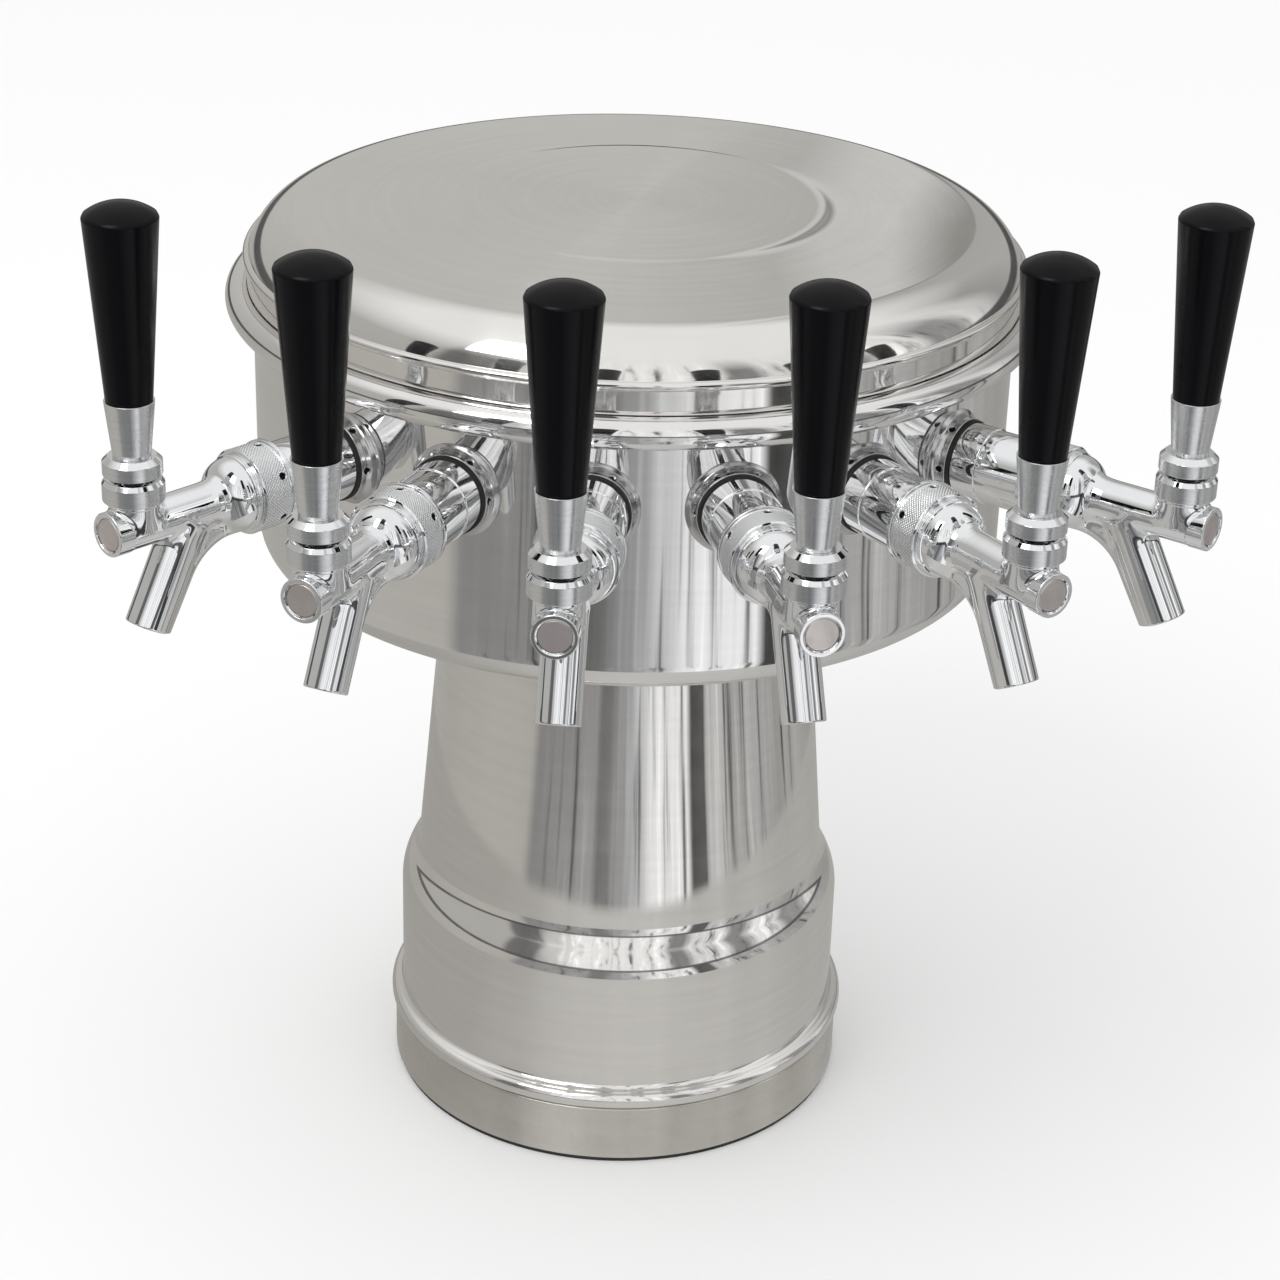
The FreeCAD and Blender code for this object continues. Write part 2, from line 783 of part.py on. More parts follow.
def pipe(body, name, kind, radius, path, start, lean):
    """Sweep a circle along a path sketch; start and lean place the circle."""
    sketch = new_sketch(body, name + "_section", "XY_Plane", Placement(start, lean))
    ring_outline(sketch, radius)
    sweep = body.newObject("PartDesign::" + kind, name)
    sweep.Profile = sketch
    sweep.Spine = path
    return sweep


def tailpiece(tap):
    """Elbow on the shank's rear end, with the stub that the hose slides over."""
    body = new_body("tailpiece", tap_frame(tap))
    path = new_sketch(body, "path", "XZ_Plane")
    outline(path, [
        ("x_shank_rear", "0"),
        ("x_tail_bend", "0"),
        ("x_tail_bend - tail_bend", "0 - tail_bend", "tail_bend", "left"),
        ("x_tail_bend - tail_bend", "z_tail_end"),
    ], closed=False)
    start = Vector(size_of("x_shank_rear"), 0, 0)
    across = Rotation(Vector(0, 1, 0), 90)
    pipe(body, "elbow", "AdditivePipe", "tail_radius", path, start, across)
    revolve(body, "collar", [
        ("x_shank_rear", "0"),
        ("x_shank_rear", "tail_collar"),
        ("x_shank_rear - tail_collar_width", "tail_collar"),
        ("x_shank_rear - tail_collar_width", "0"),
    ], "H")
    pipe(body, "bore", "SubtractivePipe", "tail_bore", path, start, across)
    return body


def beverage_line(tap):
    """Hose from the tailpiece, over the drum's floor and down the column."""
    body = new_body("beverage_line", tap_frame(tap))
    path = new_sketch(body, "path", "XZ_Plane")
    leg = "x_tail_bend - tail_bend"
    drop = "hose_drop_radius - tap_reach"
    run = "z_tail_end - hose_bend"
    outline(path, [
        (leg, "z_hose_top"),
        (leg, "z_tail_end"),
        (leg + " - hose_bend", run, "hose_bend", "right"),
        (drop + " + hose_bend", run),
        (drop, run + " - hose_bend", "hose_bend", "left"),
        (drop, "line_end_height - tap_height"),
    ], closed=False)
    start = Vector(size_of(leg), 0, size_of("z_hose_top"))
    pipe(body, "hose", "AdditivePipe", "hose_radius", path, start, Rotation())
    pipe(body, "bore", "SubtractivePipe", "hose_bore", path, start, Rotation())
    return body


def coolant_loop():
    """Copper tube: up the back of the column, round the drum on the shanks, down again."""
    ring = size_of("coolant_ring")
    bend = size_of("coolant_bend")
    turn = size_of("coolant_turn")
    leg_x = size_of("coolant_leg_x")
    leg_y = size_of("coolant_leg_y")
    high = size_of("tap_height + shank_radius + coolant_radius + play")
    low = size_of("line_end_height")
    inner = ring - turn
    swing = Vector(leg_x + turn, math.sqrt(inner ** 2 - (leg_x + turn) ** 2), high)
    outwards = Vector(swing.x, swing.y, 0).normalize()
    meet = swing + outwards * turn
    lean = Vector(outwards.x - 1, outwards.y, 0).normalize()

    def mirrored(point):
        return Vector(-point.x, point.y, point.z)

    rise = Vector(leg_x, leg_y, high - bend)
    corner = Vector(leg_x, leg_y + bend, high)
    knee = Vector(leg_x, leg_y + bend - bend / math.sqrt(2), high - bend + bend / math.sqrt(2))
    entry = Vector(leg_x, swing.y, high)
    half = [
        Part.LineSegment(Vector(leg_x, leg_y, low), rise).toShape(),
        Part.Arc(rise, knee, corner).toShape(),
        Part.LineSegment(corner, entry).toShape(),
        Part.Arc(entry, swing + lean * turn, meet).toShape(),
        Part.Arc(meet, Vector(ring, 0, high), Vector(0, -ring, high)).toShape(),
    ]
    other = [
        Part.Arc(Vector(0, -ring, high), Vector(-ring, 0, high), mirrored(meet)).toShape(),
        Part.Arc(mirrored(meet), mirrored(swing + lean * turn), mirrored(entry)).toShape(),
        Part.LineSegment(mirrored(entry), mirrored(corner)).toShape(),
        Part.Arc(mirrored(corner), mirrored(knee), mirrored(rise)).toShape(),
        Part.LineSegment(mirrored(rise), Vector(-leg_x, leg_y, low)).toShape(),
    ]
    wire = Part.Wire(half + other)
    outer = Part.Circle(Vector(leg_x, leg_y, low), Vector(0, 0, 1), size_of("coolant_radius"))
    inside = Part.Circle(Vector(leg_x, leg_y, low), Vector(0, 0, 1),
                         size_of("coolant_radius - coolant_wall"))
    tube = wire.makePipeShell([Part.Wire(outer.toShape())], True, False)
    hollow = wire.makePipeShell([Part.Wire(inside.toShape())], True, False)
    loop = DOC.addObject("Part::Feature", "coolant_loop")
    loop.Shape = tube.cut(hollow)
    add_node(loop, "coolant_loop")


# ---------------------------------------------------------------- faucets

def spout_place():
    """Placement of the spout's axis, with its origin at the tip and +Z up the spout."""
    tip = Vector(size_of("x_spout_tip"), 0, size_of("z_spout_tip"))
    return Placement(tip, Rotation(Vector(0, 1, 0), -size_of("spout_lean")))


def spout_tool(body, name, kind, radius, length):
    """A cylinder along the spout, added to or taken from the faucet body."""
    rod = body.newObject("PartDesign::" + kind, name)
    bind(rod, Radius=radius, Height=length)
    rod.AttachmentSupport = [(origin_feature(body, "XY_Plane"), "")]
    rod.MapMode = "FlatFace"
    rod.AttachmentOffset = spout_place()


def web(body):
    """Flat web that fills the corner between the barrel and the spout."""
    sketch = new_sketch(body, "web_outline", "XZ_Plane")
    outline(sketch, [
        ("x_bell_rim + edge", "0"),
        ("0 - neck_radius", "0"),
        ("x_web_spout", "z_web_spout"),
        ("x_web_foot", "z_web_foot"),
        ("x_web_heel", "z_web_heel"),
        ("x_bell_turn", "0 - bell_shoulder", "web_heel", "left"),
        ("x_bell_rim + edge", "0 - bell_shoulder"),
    ])
    pad = body.newObject("PartDesign::Pad", "web")
    pad.Profile = sketch
    pad.Midplane = True
    bind(pad, Length="web_thickness")


def faucet_body(tap):
    """Cast body: rear thread, bell, barrel, front boss, neck, web and spout."""
    body = new_body("faucet", tap_frame(tap))
    revolve(body, "barrel", [
        ("x_rear", "0"),
        ("x_rear", "thread_radius"),
        ("x_bell", "thread_radius"),
        ("x_bell", "bell_radius"),
        ("x_bell_rim", "bell_radius"),
        ("x_bell_rim", "bell_shoulder"),
        ("x_bell_turn", "bell_turn_radius", "bell_crown", "right"),
        ("x_barrel", "barrel_radius", "bell_throat", "left"),
        ("x_boss_rear", "barrel_radius"),
        ("x_boss_rear", "boss_radius"),
        ("x_face", "boss_radius"),
        ("x_face", "0"),
    ], "H")
    revolve(body, "neck", [
        ("0", "0"),
        ("neck_radius", "0"),
        ("neck_radius", "z_neck_lip"),
        ("neck_lip_radius", "z_neck_lip"),
        ("neck_lip_radius", "z_neck"),
        ("neck_thread", "z_neck"),
        ("neck_thread", "z_neck_top"),
        ("0", "z_neck_top"),
    ], "V")
    spout_tool(body, "spout", "AdditiveCylinder", "spout_radius", "spout_length")
    web(body)
    groove(body, "plunger_bore", [
        ("x_rear", "0"),
        ("x_rear", "seat_recess"),
        ("x_seat", "seat_recess"),
        ("x_seat", "body_bore"),
        ("x_face", "body_bore"),
        ("x_face", "0"),
    ], "H")
    groove(body, "ball_socket", [
        ("0", "z_pocket"),
        ("socket_pocket", "z_pocket"),
        ("socket_pocket", "z_pocket_top"),
        ("socket_seat", "z_socket_seat"),
        ("ball_radius + play", "z_socket_seat"),
        ("ball_radius + play", "z_neck_top"),
        ("0", "z_neck_top"),
    ], "V")
    spout_tool(body, "spout_bore", "SubtractiveCylinder", "spout_bore_radius", "spout_length")
    add_node(body, "faucet_body_%d" % tap)


def bonnet(tap):
    """Nut that holds the friction washer down on the lever's ball."""
    return turned("bonnet", [
        ("neck_thread + play", "z_bonnet"),
        ("bonnet_radius - edge", "z_bonnet"),
        ("bonnet_radius", "z_bonnet + edge"),
        ("bonnet_radius", "z_bonnet_bevel"),
        ("bonnet_crest", "z_bonnet_top"),
        ("bonnet_mouth", "z_bonnet_top"),
        ("bonnet_lip", "z_bonnet_cone"),
        ("bonnet_lip", "z_bonnet_lip"),
        ("neck_thread + play", "z_bonnet_lip"),
    ], "V", tap_frame(tap))


def friction_washer(tap):
    """Plastic washer that grips the ball."""
    return tube_shell("washer", "neck_thread - play", "washer_hole",
                      "z_washer", "z_washer + washer_thickness", tap_frame(tap))


def plunger(tap):
    """Faucet shaft: front guide, slotted rod for the lever's finger, seal groove, head."""
    body = new_body("plunger", tap_frame(tap))
    seal_rear = "x_seal_front - seal_thickness"
    revolve(body, "shaft", [
        (seal_rear + " - head_thickness", "0"),
        (seal_rear + " - head_thickness", "0.6*head_radius"),
        (seal_rear, "head_radius"),
        (seal_rear, "seal_neck"),
        ("x_seal_front", "seal_neck"),
        ("x_seal_front", "seal_plate"),
        ("x_seal_front + seal_plate_width", "seal_plate"),
        ("x_seal_front + seal_plate_width", "thin_rod_radius"),
        ("x_rod", "thin_rod_radius"),
        ("x_rod", "rod_radius"),
        ("x_guide", "rod_radius"),
        ("x_guide", "guide_radius"),
        ("x_plunger_face - edge", "guide_radius"),
        ("x_plunger_face", "guide_radius - edge"),
        ("x_plunger_face", "0"),
    ], "H")
    sketch = new_sketch(body, "slot_outline", "XZ_Plane")
    outline(sketch, [
        ("0 - slot_half_length", "z_slot_floor"),
        ("slot_half_length", "z_slot_floor"),
        ("slot_half_length", "z_slot_flare"),
        ("slot_mouth", "z_slot_top"),
        ("0 - slot_half_length", "z_slot_top"),
    ])
    slot = body.newObject("PartDesign::Pocket", "slot")
    slot.Profile = sketch
    slot.Midplane = True
    bind(slot, Length="2*slot_half_width")
    add_node(body, "plunger_%d" % tap)


def plunger_seal(tap):
    """Rubber washer stretched over the plunger's head."""
    rear = "x_seal_front - seal_thickness"
    body = turned("seal", [
        (rear, "seal_neck"),
        (rear, "seal_radius"),
        ("x_seal_front", "seal_radius"),
        ("x_seal_front", "seal_neck"),
    ], "H", tap_frame(tap))
    add_node(body, "plunger_seal_%d" % tap)


def lever(tap):
    """Threaded stud, ball and the finger that moves the plunger."""
    body = turned("lever", [
        ("0", "~0 - tip_radius"),
        ("finger_radius", "~1.33", "tip_radius", "left", "0"),
        ("finger_radius", "~6.87"),
        ("stem_radius", "~18.6", "ball_radius", "left", "z_ball"),
        ("stem_radius", "z_stem_top"),
        ("stud_radius", "z_stud"),
        ("stud_radius", "z_stud_top"),
        ("0", "z_stud_top"),
    ], "V", tap_frame(tap))
    add_node(body, "lever_%d" % tap)


def lever_collar(tap):
    """Nut under the ferrule, hollowed so that it swings over the bonnet."""
    body = turned("lever_collar", [
        ("~10.72", "z_collar_bottom", "collar_cup", "right", "z_ball"),
        ("lever_collar_radius", "z_collar_bottom"),
        ("lever_collar_radius", "z_collar_bevel"),
        ("lever_collar_crest", "z_ferrule"),
        ("stud_radius + play", "z_ferrule"),
        ("stud_radius + play", "~26.17"),
    ], "V", tap_frame(tap))
    add_node(body, "lever_collar_%d" % tap)


def ferrule(tap):
    """Tapered aluminium ferrule between the lever and the grip."""
    body = turned("ferrule", [
        ("stud_radius + play", "z_ferrule"),
        ("ferrule_foot", "z_ferrule"),
        ("ferrule_head", "z_grip"),
        ("stud_radius", "z_grip"),
        ("stud_radius", "z_grip + ferrule_stud"),
        ("0", "z_grip + ferrule_stud"),
        ("0", "z_stud_top + edge"),
        ("stud_radius + play", "z_stud_top + edge"),
    ], "V", tap_frame(tap))
    add_node(body, "ferrule_%d" % tap)


def grip(tap):
    """Tapered black grip with a domed top."""
    body = turned("grip", [
        ("stud_radius + play", "z_grip"),
        ("grip_foot", "z_grip"),
        ("grip_head", "z_grip_rim"),
        ("0", "z_grip_top", "grip_dome", "left", "axis"),
        ("0", "z_grip + grip_socket"),
        ("stud_radius + play", "z_grip + grip_socket"),
    ], "V", tap_frame(tap))
    add_node(body, "grip_%d" % tap)


# ---------------------------------------------------------------- assembly

def build():
    """Make every sub-part."""
    fill_sheet()
    for shell in (lid, drum_shell, column_shell, neck_ring, neck_screws, base_ring,
                  base_gasket, coolant_loop):
        shell()
    one_per_tap("shank_collars", shank_collar)
    one_per_tap("shank_washers", shank_washer)
    one_per_tap("shank_sleeves", shank_sleeve)
    one_per_tap("shanks", shank)
    one_per_tap("coupling_nuts", coupling_nut)
    one_per_tap("shank_locknuts", shank_locknut)
    one_per_tap("tailpieces", tailpiece)
    one_per_tap("beverage_lines", beverage_line)
    one_per_tap("bonnets", bonnet)
    one_per_tap("friction_washers", friction_washer)
    for tap in taps():
        for piece in (faucet_body, plunger, plunger_seal, lever, lever_collar, ferrule, grip):
            piece(tap)
    DOC.recompute()


def check():
    """Stop before anything is written if an object failed."""
    for thing in DOC.Objects:
        if "Invalid" in thing.State or "Error" in thing.State:
            raise RuntimeError("%s (%s): %s" % (thing.Label, thing.Name, thing.State))
    for node in NODES:
        if node.Shape.isNull() or not node.Shape.isValid() or not node.Shape.Solids:
            raise RuntimeError("bad shape: " + node.Label)


def export():
    """Write each sub-part to its own STEP file."""
    os.makedirs("parts", exist_ok=True)
    for node in NODES:
        node.Shape.exportStep("parts/%s.step" % node.Label)
        print("%-18s solids %d volume %.0f" % (
            node.Label, len(node.Shape.Solids), node.Shape.Volume))


build()
check()
export()
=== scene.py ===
import json
import math

import bpy
import numpy as np
from mathutils import Matrix, Vector


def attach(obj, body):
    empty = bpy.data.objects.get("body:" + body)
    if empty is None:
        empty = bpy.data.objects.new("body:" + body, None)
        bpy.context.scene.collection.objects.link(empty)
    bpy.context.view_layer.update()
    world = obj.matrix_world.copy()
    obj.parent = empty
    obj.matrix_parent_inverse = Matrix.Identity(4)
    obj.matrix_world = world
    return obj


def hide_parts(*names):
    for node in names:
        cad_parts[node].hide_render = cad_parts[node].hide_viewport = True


# Looks of the beer tap tower.  Metres, +Z up, the middle of the fan of taps faces -Y.
# Outlines of turned pieces are in millimetres: (radius, height along the axis, fillet).
# A tap's own frame has its origin where the handle's axis meets the shank's axis, +X
# pointing away from the tower and +Z up.

MM = 0.001
TAPS = range(1, 7)
BALL_RISE = 13.0           # lever's ball above the shank's axis

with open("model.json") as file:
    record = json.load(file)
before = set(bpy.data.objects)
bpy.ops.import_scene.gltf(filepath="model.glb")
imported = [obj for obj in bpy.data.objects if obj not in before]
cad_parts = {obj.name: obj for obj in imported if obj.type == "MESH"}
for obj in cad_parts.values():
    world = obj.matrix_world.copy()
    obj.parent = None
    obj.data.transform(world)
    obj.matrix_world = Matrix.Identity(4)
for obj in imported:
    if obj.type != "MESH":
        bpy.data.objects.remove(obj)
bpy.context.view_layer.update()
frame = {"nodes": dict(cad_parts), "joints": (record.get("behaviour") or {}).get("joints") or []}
NODES = frame["nodes"]
JOINTS = {joint["name"]: joint for joint in frame["joints"]}

DRUM_RADIUS = 165.0
REACH = math.hypot(*JOINTS["lever_hinge_1"]["pos_m"][:2]) / MM     # tower axis to handle axis


def tap_place(tap):
    """Matrix of a tap's own frame, from the joints of its lever and its plunger."""
    up = Vector((0, 0, 1))
    ball = Vector(JOINTS["lever_hinge_%d" % tap]["pos_m"])
    outward = Vector(JOINTS["plunger_slide_%d" % tap]["axis"])
    basis = Matrix((outward, up.cross(outward), up)).transposed().to_4x4()
    return Matrix.Translation(ball - up * BALL_RISE * MM) @ basis


# ---------------------------------------------------------------- turned meshes

EDGE = 0.15                # fillet of a corner that names none
FILLET_SHARE = 0.48        # largest share of a side that one fillet takes
SMALL_FILLET = 2.0
SMALL_STEP, LARGE_STEP = 9.0, 3.0      # degrees between points on small and large fillets
OUTWARD = 0.7              # a relief acts where the normal points out by more than this


def arc(centre_r, centre_h, radius, start, end, count, inward=False):
    """Points on an arc, in degrees from the radial direction, each with its normal."""
    sign = -1.0 if inward else 1.0
    points = []
    for k in range(count + 1):
        a = math.radians(start + (end - start) * k / count)
        c, s = math.cos(a), math.sin(a)
        points.append((centre_r + radius * c, centre_h + radius * s, sign * c, sign * s))
    return points


def area(corners):
    """Twice the signed area inside an outline."""
    total = 0.0
    for a, b in zip(corners, list(corners[1:]) + [corners[0]]):
        total += a[0] * b[1] - b[0] * a[1]
    return total


def right_of(way):
    """The direction a quarter turn to the right of another."""
    return np.array((way[1], -way[0]))


def fillet(before, here, after, radius):
    """Points and outward normals of one rounded corner."""
    arrive, leave = here - before, after - here
    room = FILLET_SHARE * min(np.linalg.norm(arrive), np.linalg.norm(leave))
    arrive /= np.linalg.norm(arrive)
    leave /= np.linalg.norm(leave)
    turn = math.atan2(arrive[0] * leave[1] - arrive[1] * leave[0], float(arrive @ leave))
    half = abs(math.tan(turn / 2))
    reach = min(radius * half, room)
    radius = reach / max(half, 1e-9)
    step = SMALL_STEP if radius < SMALL_FILLET else LARGE_STEP
    bend = math.copysign(radius, turn)
    centre = here - arrive * reach - right_of(arrive) * bend
    points, normals = [], []
    steps = max(2, int(abs(math.degrees(turn)) / step) + 1)
    for k in range(steps + 1):
        a = turn * k / steps
        way = np.array((arrive[0] * math.cos(a) - arrive[1] * math.sin(a),
                        arrive[0] * math.sin(a) + arrive[1] * math.cos(a)))
        points.append(centre + right_of(way) * bend)
        normals.append(right_of(way))
    return points, normals


def rounded(corners, closed):
    """Points and outward normals of an outline with its corners filleted."""
    if area(corners) < 0:
        corners = corners[::-1]
    count = len(corners)
    places = [np.array(corner[:2], float) for corner in corners]
    points, normals = [], []
    for i, corner in enumerate(corners):
        here, before, after = places[i], places[i - 1], places[(i + 1) % count]
        if len(corner) == 4:
            points.append(here)
            normals.append(np.array(corner[2:], float))
        elif not closed and i in (0, count - 1):
            way = after - here if i == 0 else here - before
            points.append(here)
            normals.append(right_of(way / np.linalg.norm(way)))
        else:
            radius = corner[2] if len(corner) > 2 else EDGE
            more_points, more_normals = fillet(before, here, after, radius)
            points += more_points
            normals += more_normals
    return np.array(points), np.array(normals)


def fill_rows(points, normals, spacing):
    """The same closed outline with extra points on its long straight runs."""
    new_points, new_normals = [], []
    for i, point in enumerate(points):
        after = (i + 1) % len(points)
        parts = max(1, int(np.linalg.norm(points[after] - point) / spacing))
        for k in range(parts):
            t = k / parts
            new_points.append(point * (1 - t) + points[after] * t)
            new_normals.append(normals[i] * (1 - t) + normals[after] * t)
    return np.array(new_points), np.array(new_normals)


def make_mesh(name, verts, faces, normals=None, turn=None):
    """A smooth mesh in metres from millimetres, with its own normals when given."""
    mesh = bpy.data.meshes.new(name)
    mesh.from_pydata((np.asarray(verts) * MM).tolist(), [], faces)
    if turn is not None:
        store = mesh.attributes.new("turn", "FLOAT_VECTOR", "POINT")
        store.data.foreach_set("vector", np.asarray(turn, np.float32).ravel())
    mesh.polygons.foreach_set("use_smooth", np.ones(len(mesh.polygons), bool))
    if normals is not None:
        mesh.normals_split_custom_set_from_vertices(np.asarray(normals).tolist())
    mesh.update()
    return mesh


def axis_points(one, two, along, axis):
    """Coordinates about the Z or the X axis."""
    order = (one, two, along) if axis == "Z" else (along, one, two)
    return np.stack(order, -1)


def facing_pole(normal, axis):
    """The normal at a point on the axis."""
    up = math.copysign(1.0, normal[1])
    return np.array([(0, 0, up) if axis == "Z" else (up, 0, 0)], float)


def lathe(name, corners, axis="Z", segments=96, closed=True, spacing=None, relief=None,
          span=None):
    """Turn an outline about an axis.

    relief gives how far points move outwards from (height, radius, angle); it acts on
    rows whose heights are inside span.  An open outline starts and ends on the axis.
    The mesh keeps (height, radius, angle) of its points for the turned materials.
    """
    points, normals = rounded(corners, closed)
    if spacing:
        points, normals = fill_rows(points, normals, spacing)
    theta = np.arange(segments) * (2 * math.pi / segments)
    radial = np.repeat(points[:, :1], segments, 1)
    height = np.repeat(points[:, 1:], segments, 1)
    angle = np.repeat(theta[None, :], len(points), 0)
    if relief is not None:
        heights = points[:, 1]
        outer = (normals[:, 0] > OUTWARD) & (heights > span[0]) & (heights < span[1])
        radial = radial + relief(height, radial, angle) * outer[:, None]
    cos, sin = np.cos(angle), np.sin(angle)
    body = axis_points(radial * cos, radial * sin, height, axis)
    facing = axis_points(normals[:, :1] * cos, normals[:, :1] * sin,
                         np.repeat(normals[:, 1:], segments, 1), axis)
    turn = np.stack([height, radial, angle], -1)
    rows = len(points)
    first, last = (0, rows) if closed else (1, rows - 1)
    verts = [body[first:last].reshape(-1, 3)]
    vert_normals = [facing[first:last].reshape(-1, 3)]
    turns = [turn[first:last].reshape(-1, 3)]
    kept = last - first
    grid = np.arange(kept * segments).reshape(kept, segments)
    lower = grid if closed else grid[:-1]
    upper = np.roll(grid, -1, 0) if closed else grid[1:]
    quads = np.stack([lower, np.roll(lower, -1, 1), np.roll(upper, -1, 1), upper], -1)
    faces = quads.reshape(-1, 4).tolist()
    if not closed:
        for row, ring, flip in ((0, grid[0], True), (rows - 1, grid[-1], False)):
            pole = kept * segments + (0 if flip else 1)
            verts.append(body[row, :1])
            vert_normals.append(facing_pole(normals[row], axis))
            turns.append(turn[row, :1])
            after = np.roll(ring, -1)
            pairs = zip(after, ring) if flip else zip(ring, after)
            faces += [[pole, int(a), int(b)] for a, b in pairs]
    shown = None if relief is not None else np.concatenate(vert_normals)
    return make_mesh(name, np.concatenate(verts), faces, shown, np.concatenate(turns))


# ---------------------------------------------------------------- cast faucet body

# The casting is one smooth body: fields that give the distance to each simple shape are
# blended into one, and its zero surface is meshed.  Millimetres, in a tap's own frame.

BARREL_RADIUS = 8.5
BELL_RADIUS = 14.9
BELL_END = -49.4
BARREL_FRONT = 12.0
CROWN = (-47.4, 4.9, 10.0)             # centre and radius of the bell's rounded shoulder
NECK_RADIUS, NECK_TOP = 9.65, 10.9
SPOUT_TIP = np.array((-2.6, 0.0, -43.2))
SPOUT_LEAN = math.radians(28)
SPOUT_UP = np.array((-math.sin(SPOUT_LEAN), 0.0, math.cos(SPOUT_LEAN)))
SPOUT_RADIUS, SPOUT_LENGTH = 8.5, 44.0
RIB_RADIUS = 4.6                       # rounded rear edge of the web
WEB_HALF = 4.1                         # half the web's thickness
BORE = 6.62                            # plunger's way through the barrel
SOCKET, SOCKET_FOOT = 6.6, 3.0         # lever's way down through the neck
POCKET = 7.7                           # wide foot of the socket, where the finger swings
POCKET_TOP, SOCKET_WAIST = 7.0, 9.5
CHANNEL, CHANNEL_LENGTH = 6.1, 36.0    # beer's way out through the spout
NECK_BLEND, WEB_BLEND, SPOUT_BLEND = 4.0, 3.0, 4.6     # widths of the cast fillets
CAST_EDGE = 1.0                        # rounding of the casting's outer edges
CUT_EDGE = 0.3                         # rounding of its machined edges
BELL_STEP = 0.05                       # spacing of the points on the bell's outline
BELL_SOFTENING = 25                    # points over which the bell's outline is smoothed
GRID_STEP = 0.7
GRID_LOW, GRID_HIGH = (-50.4, -16.8, -49.6), (12.8, 16.8, 16.8)
# middle line of the web's rear edge: straight, a bend, straight past the spout's tip
BEND = [point[:2] for point in arc(-44.9, -39.2, 27.8, 77.5, 30.3, 8)]
RIB = np.array([(-46.0, -10.6), *BEND, (-6.8, -49.6)])
WEB = [*RIB, SPOUT_TIP[[0, 2]], (-18, -12), (-6, -2), (-46, -2)]


def bell_outline():
    """Radius of the bell and barrel along the tap's axis."""
    crown = arc(*CROWN, 90, 30, 24)
    along = [p[0] for p in crown]
    radius = [p[1] for p in crown]
    along += [-36.6, -34.4, -32.0, -29.0, 20.0]
    radius += [8.98, 8.66, 8.53, BARREL_RADIUS, BARREL_RADIUS]
    x = np.arange(-50, 20 + BELL_STEP / 2, BELL_STEP)
    r = np.interp(x, [-60.0] + along, [BELL_RADIUS] + radius)
    weights = np.hanning(BELL_SOFTENING)
    padded = np.pad(r, BELL_SOFTENING // 2, mode="edge")
    return x, np.convolve(padded, weights / weights.sum(), "valid")


BELL_X, BELL_R = bell_outline()
BELL_SLOPE = np.gradient(BELL_R, BELL_X)


def smin(a, b, k):
    """Smaller of two fields, blended over a width k."""
    h = np.maximum(k - np.abs(a - b), 0) / k
    return np.minimum(a, b) - h * h * h * k / 6


def smax(a, b, k):
    """Larger of two fields, blended over a width k."""
    return -smin(-a, -b, k)


def squared_gap(flat, a, b):
    """Squared distance in a plane to the line from a to b."""
    way = b - a
    t = np.clip(((flat - a) @ way) / (way @ way), 0, 1)
    gap = flat - a - t[:, None] * way
    return (gap ** 2).sum(1)


def to_line(p, line):
    """Distance to a line of points in the XZ plane."""
    best = np.full(len(p), np.inf)
    for a, b in zip(line[:-1], line[1:]):
        best = np.minimum(best, squared_gap(p[:, (0, 2)], a, b))
    return np.sqrt(best + p[:, 1] ** 2)


def inside_outline(flat, outline):
    """Signed distance to a closed outline in the XZ plane, negative inside."""
    best = np.full(len(flat), np.inf)
    inside = np.zeros(len(flat), bool)
    corners = np.array(outline, float)
    for a, b in zip(corners, np.roll(corners, -1, 0)):
        best = np.minimum(best, squared_gap(flat, a, b))
        crosses = (a[1] > flat[:, 1]) != (b[1] > flat[:, 1])
        with np.errstate(divide="ignore", invalid="ignore"):
            where = a[0] + (flat[:, 1] - a[1]) * (b - a)[0] / (b - a)[1]
        inside ^= crosses & (flat[:, 0] < where)
    return np.sqrt(best) * np.where(inside, -1, 1)


def faucet_field(p):
    """Signed distance of the casting."""
    x, y, z = p.T
    around_x = np.hypot(y, z)
    around_z = np.hypot(x, y)
    along = (p - SPOUT_TIP) @ SPOUT_UP
    around_spout = np.linalg.norm(p - SPOUT_TIP - along[:, None] * SPOUT_UP, axis=1)

    slope = np.interp(x, BELL_X, BELL_SLOPE)
    barrel = (around_x - np.interp(x, BELL_X, BELL_R)) / np.sqrt(1 + slope ** 2)
    neck = smax(np.maximum(around_z - NECK_RADIUS, -z), z - NECK_TOP, 0.8)
    spout = smax(around_spout - SPOUT_RADIUS, along - SPOUT_LENGTH, CAST_EDGE)
    rib = to_line(p, RIB) - RIB_RADIUS
    plate = smax(inside_outline(p[:, (0, 2)], WEB), np.abs(y) - WEB_HALF, CAST_EDGE)
    web = smin(rib, plate, WEB_BLEND)

    shape = smin(barrel, neck, NECK_BLEND)
    shape = smin(shape, web, SPOUT_BLEND)
    shape = smin(shape, spout, SPOUT_BLEND)
    shape = smax(shape, -along, 0.9)
    shape = np.maximum(shape, np.maximum(BELL_END - x, x - BARREL_FRONT))

    bore = around_x - BORE
    width = np.interp(z, (POCKET_TOP, SOCKET_WAIST), (POCKET, SOCKET))
    socket = np.maximum(around_z - width, SOCKET_FOOT - z)
    channel = np.maximum(around_spout - CHANNEL, along - CHANNEL_LENGTH)
    shape = smax(shape, -bore, CUT_EDGE)
    shape = smax(shape, -socket, CUT_EDGE)
    return smax(shape, -channel, 0.5)


def gradient(field, p, h=0.02):
    """Gradient of a field by central differences."""
    steps = np.eye(3) * h
    return np.stack([(field(p + s) - field(p - s)) / (2 * h) for s in steps], 1)


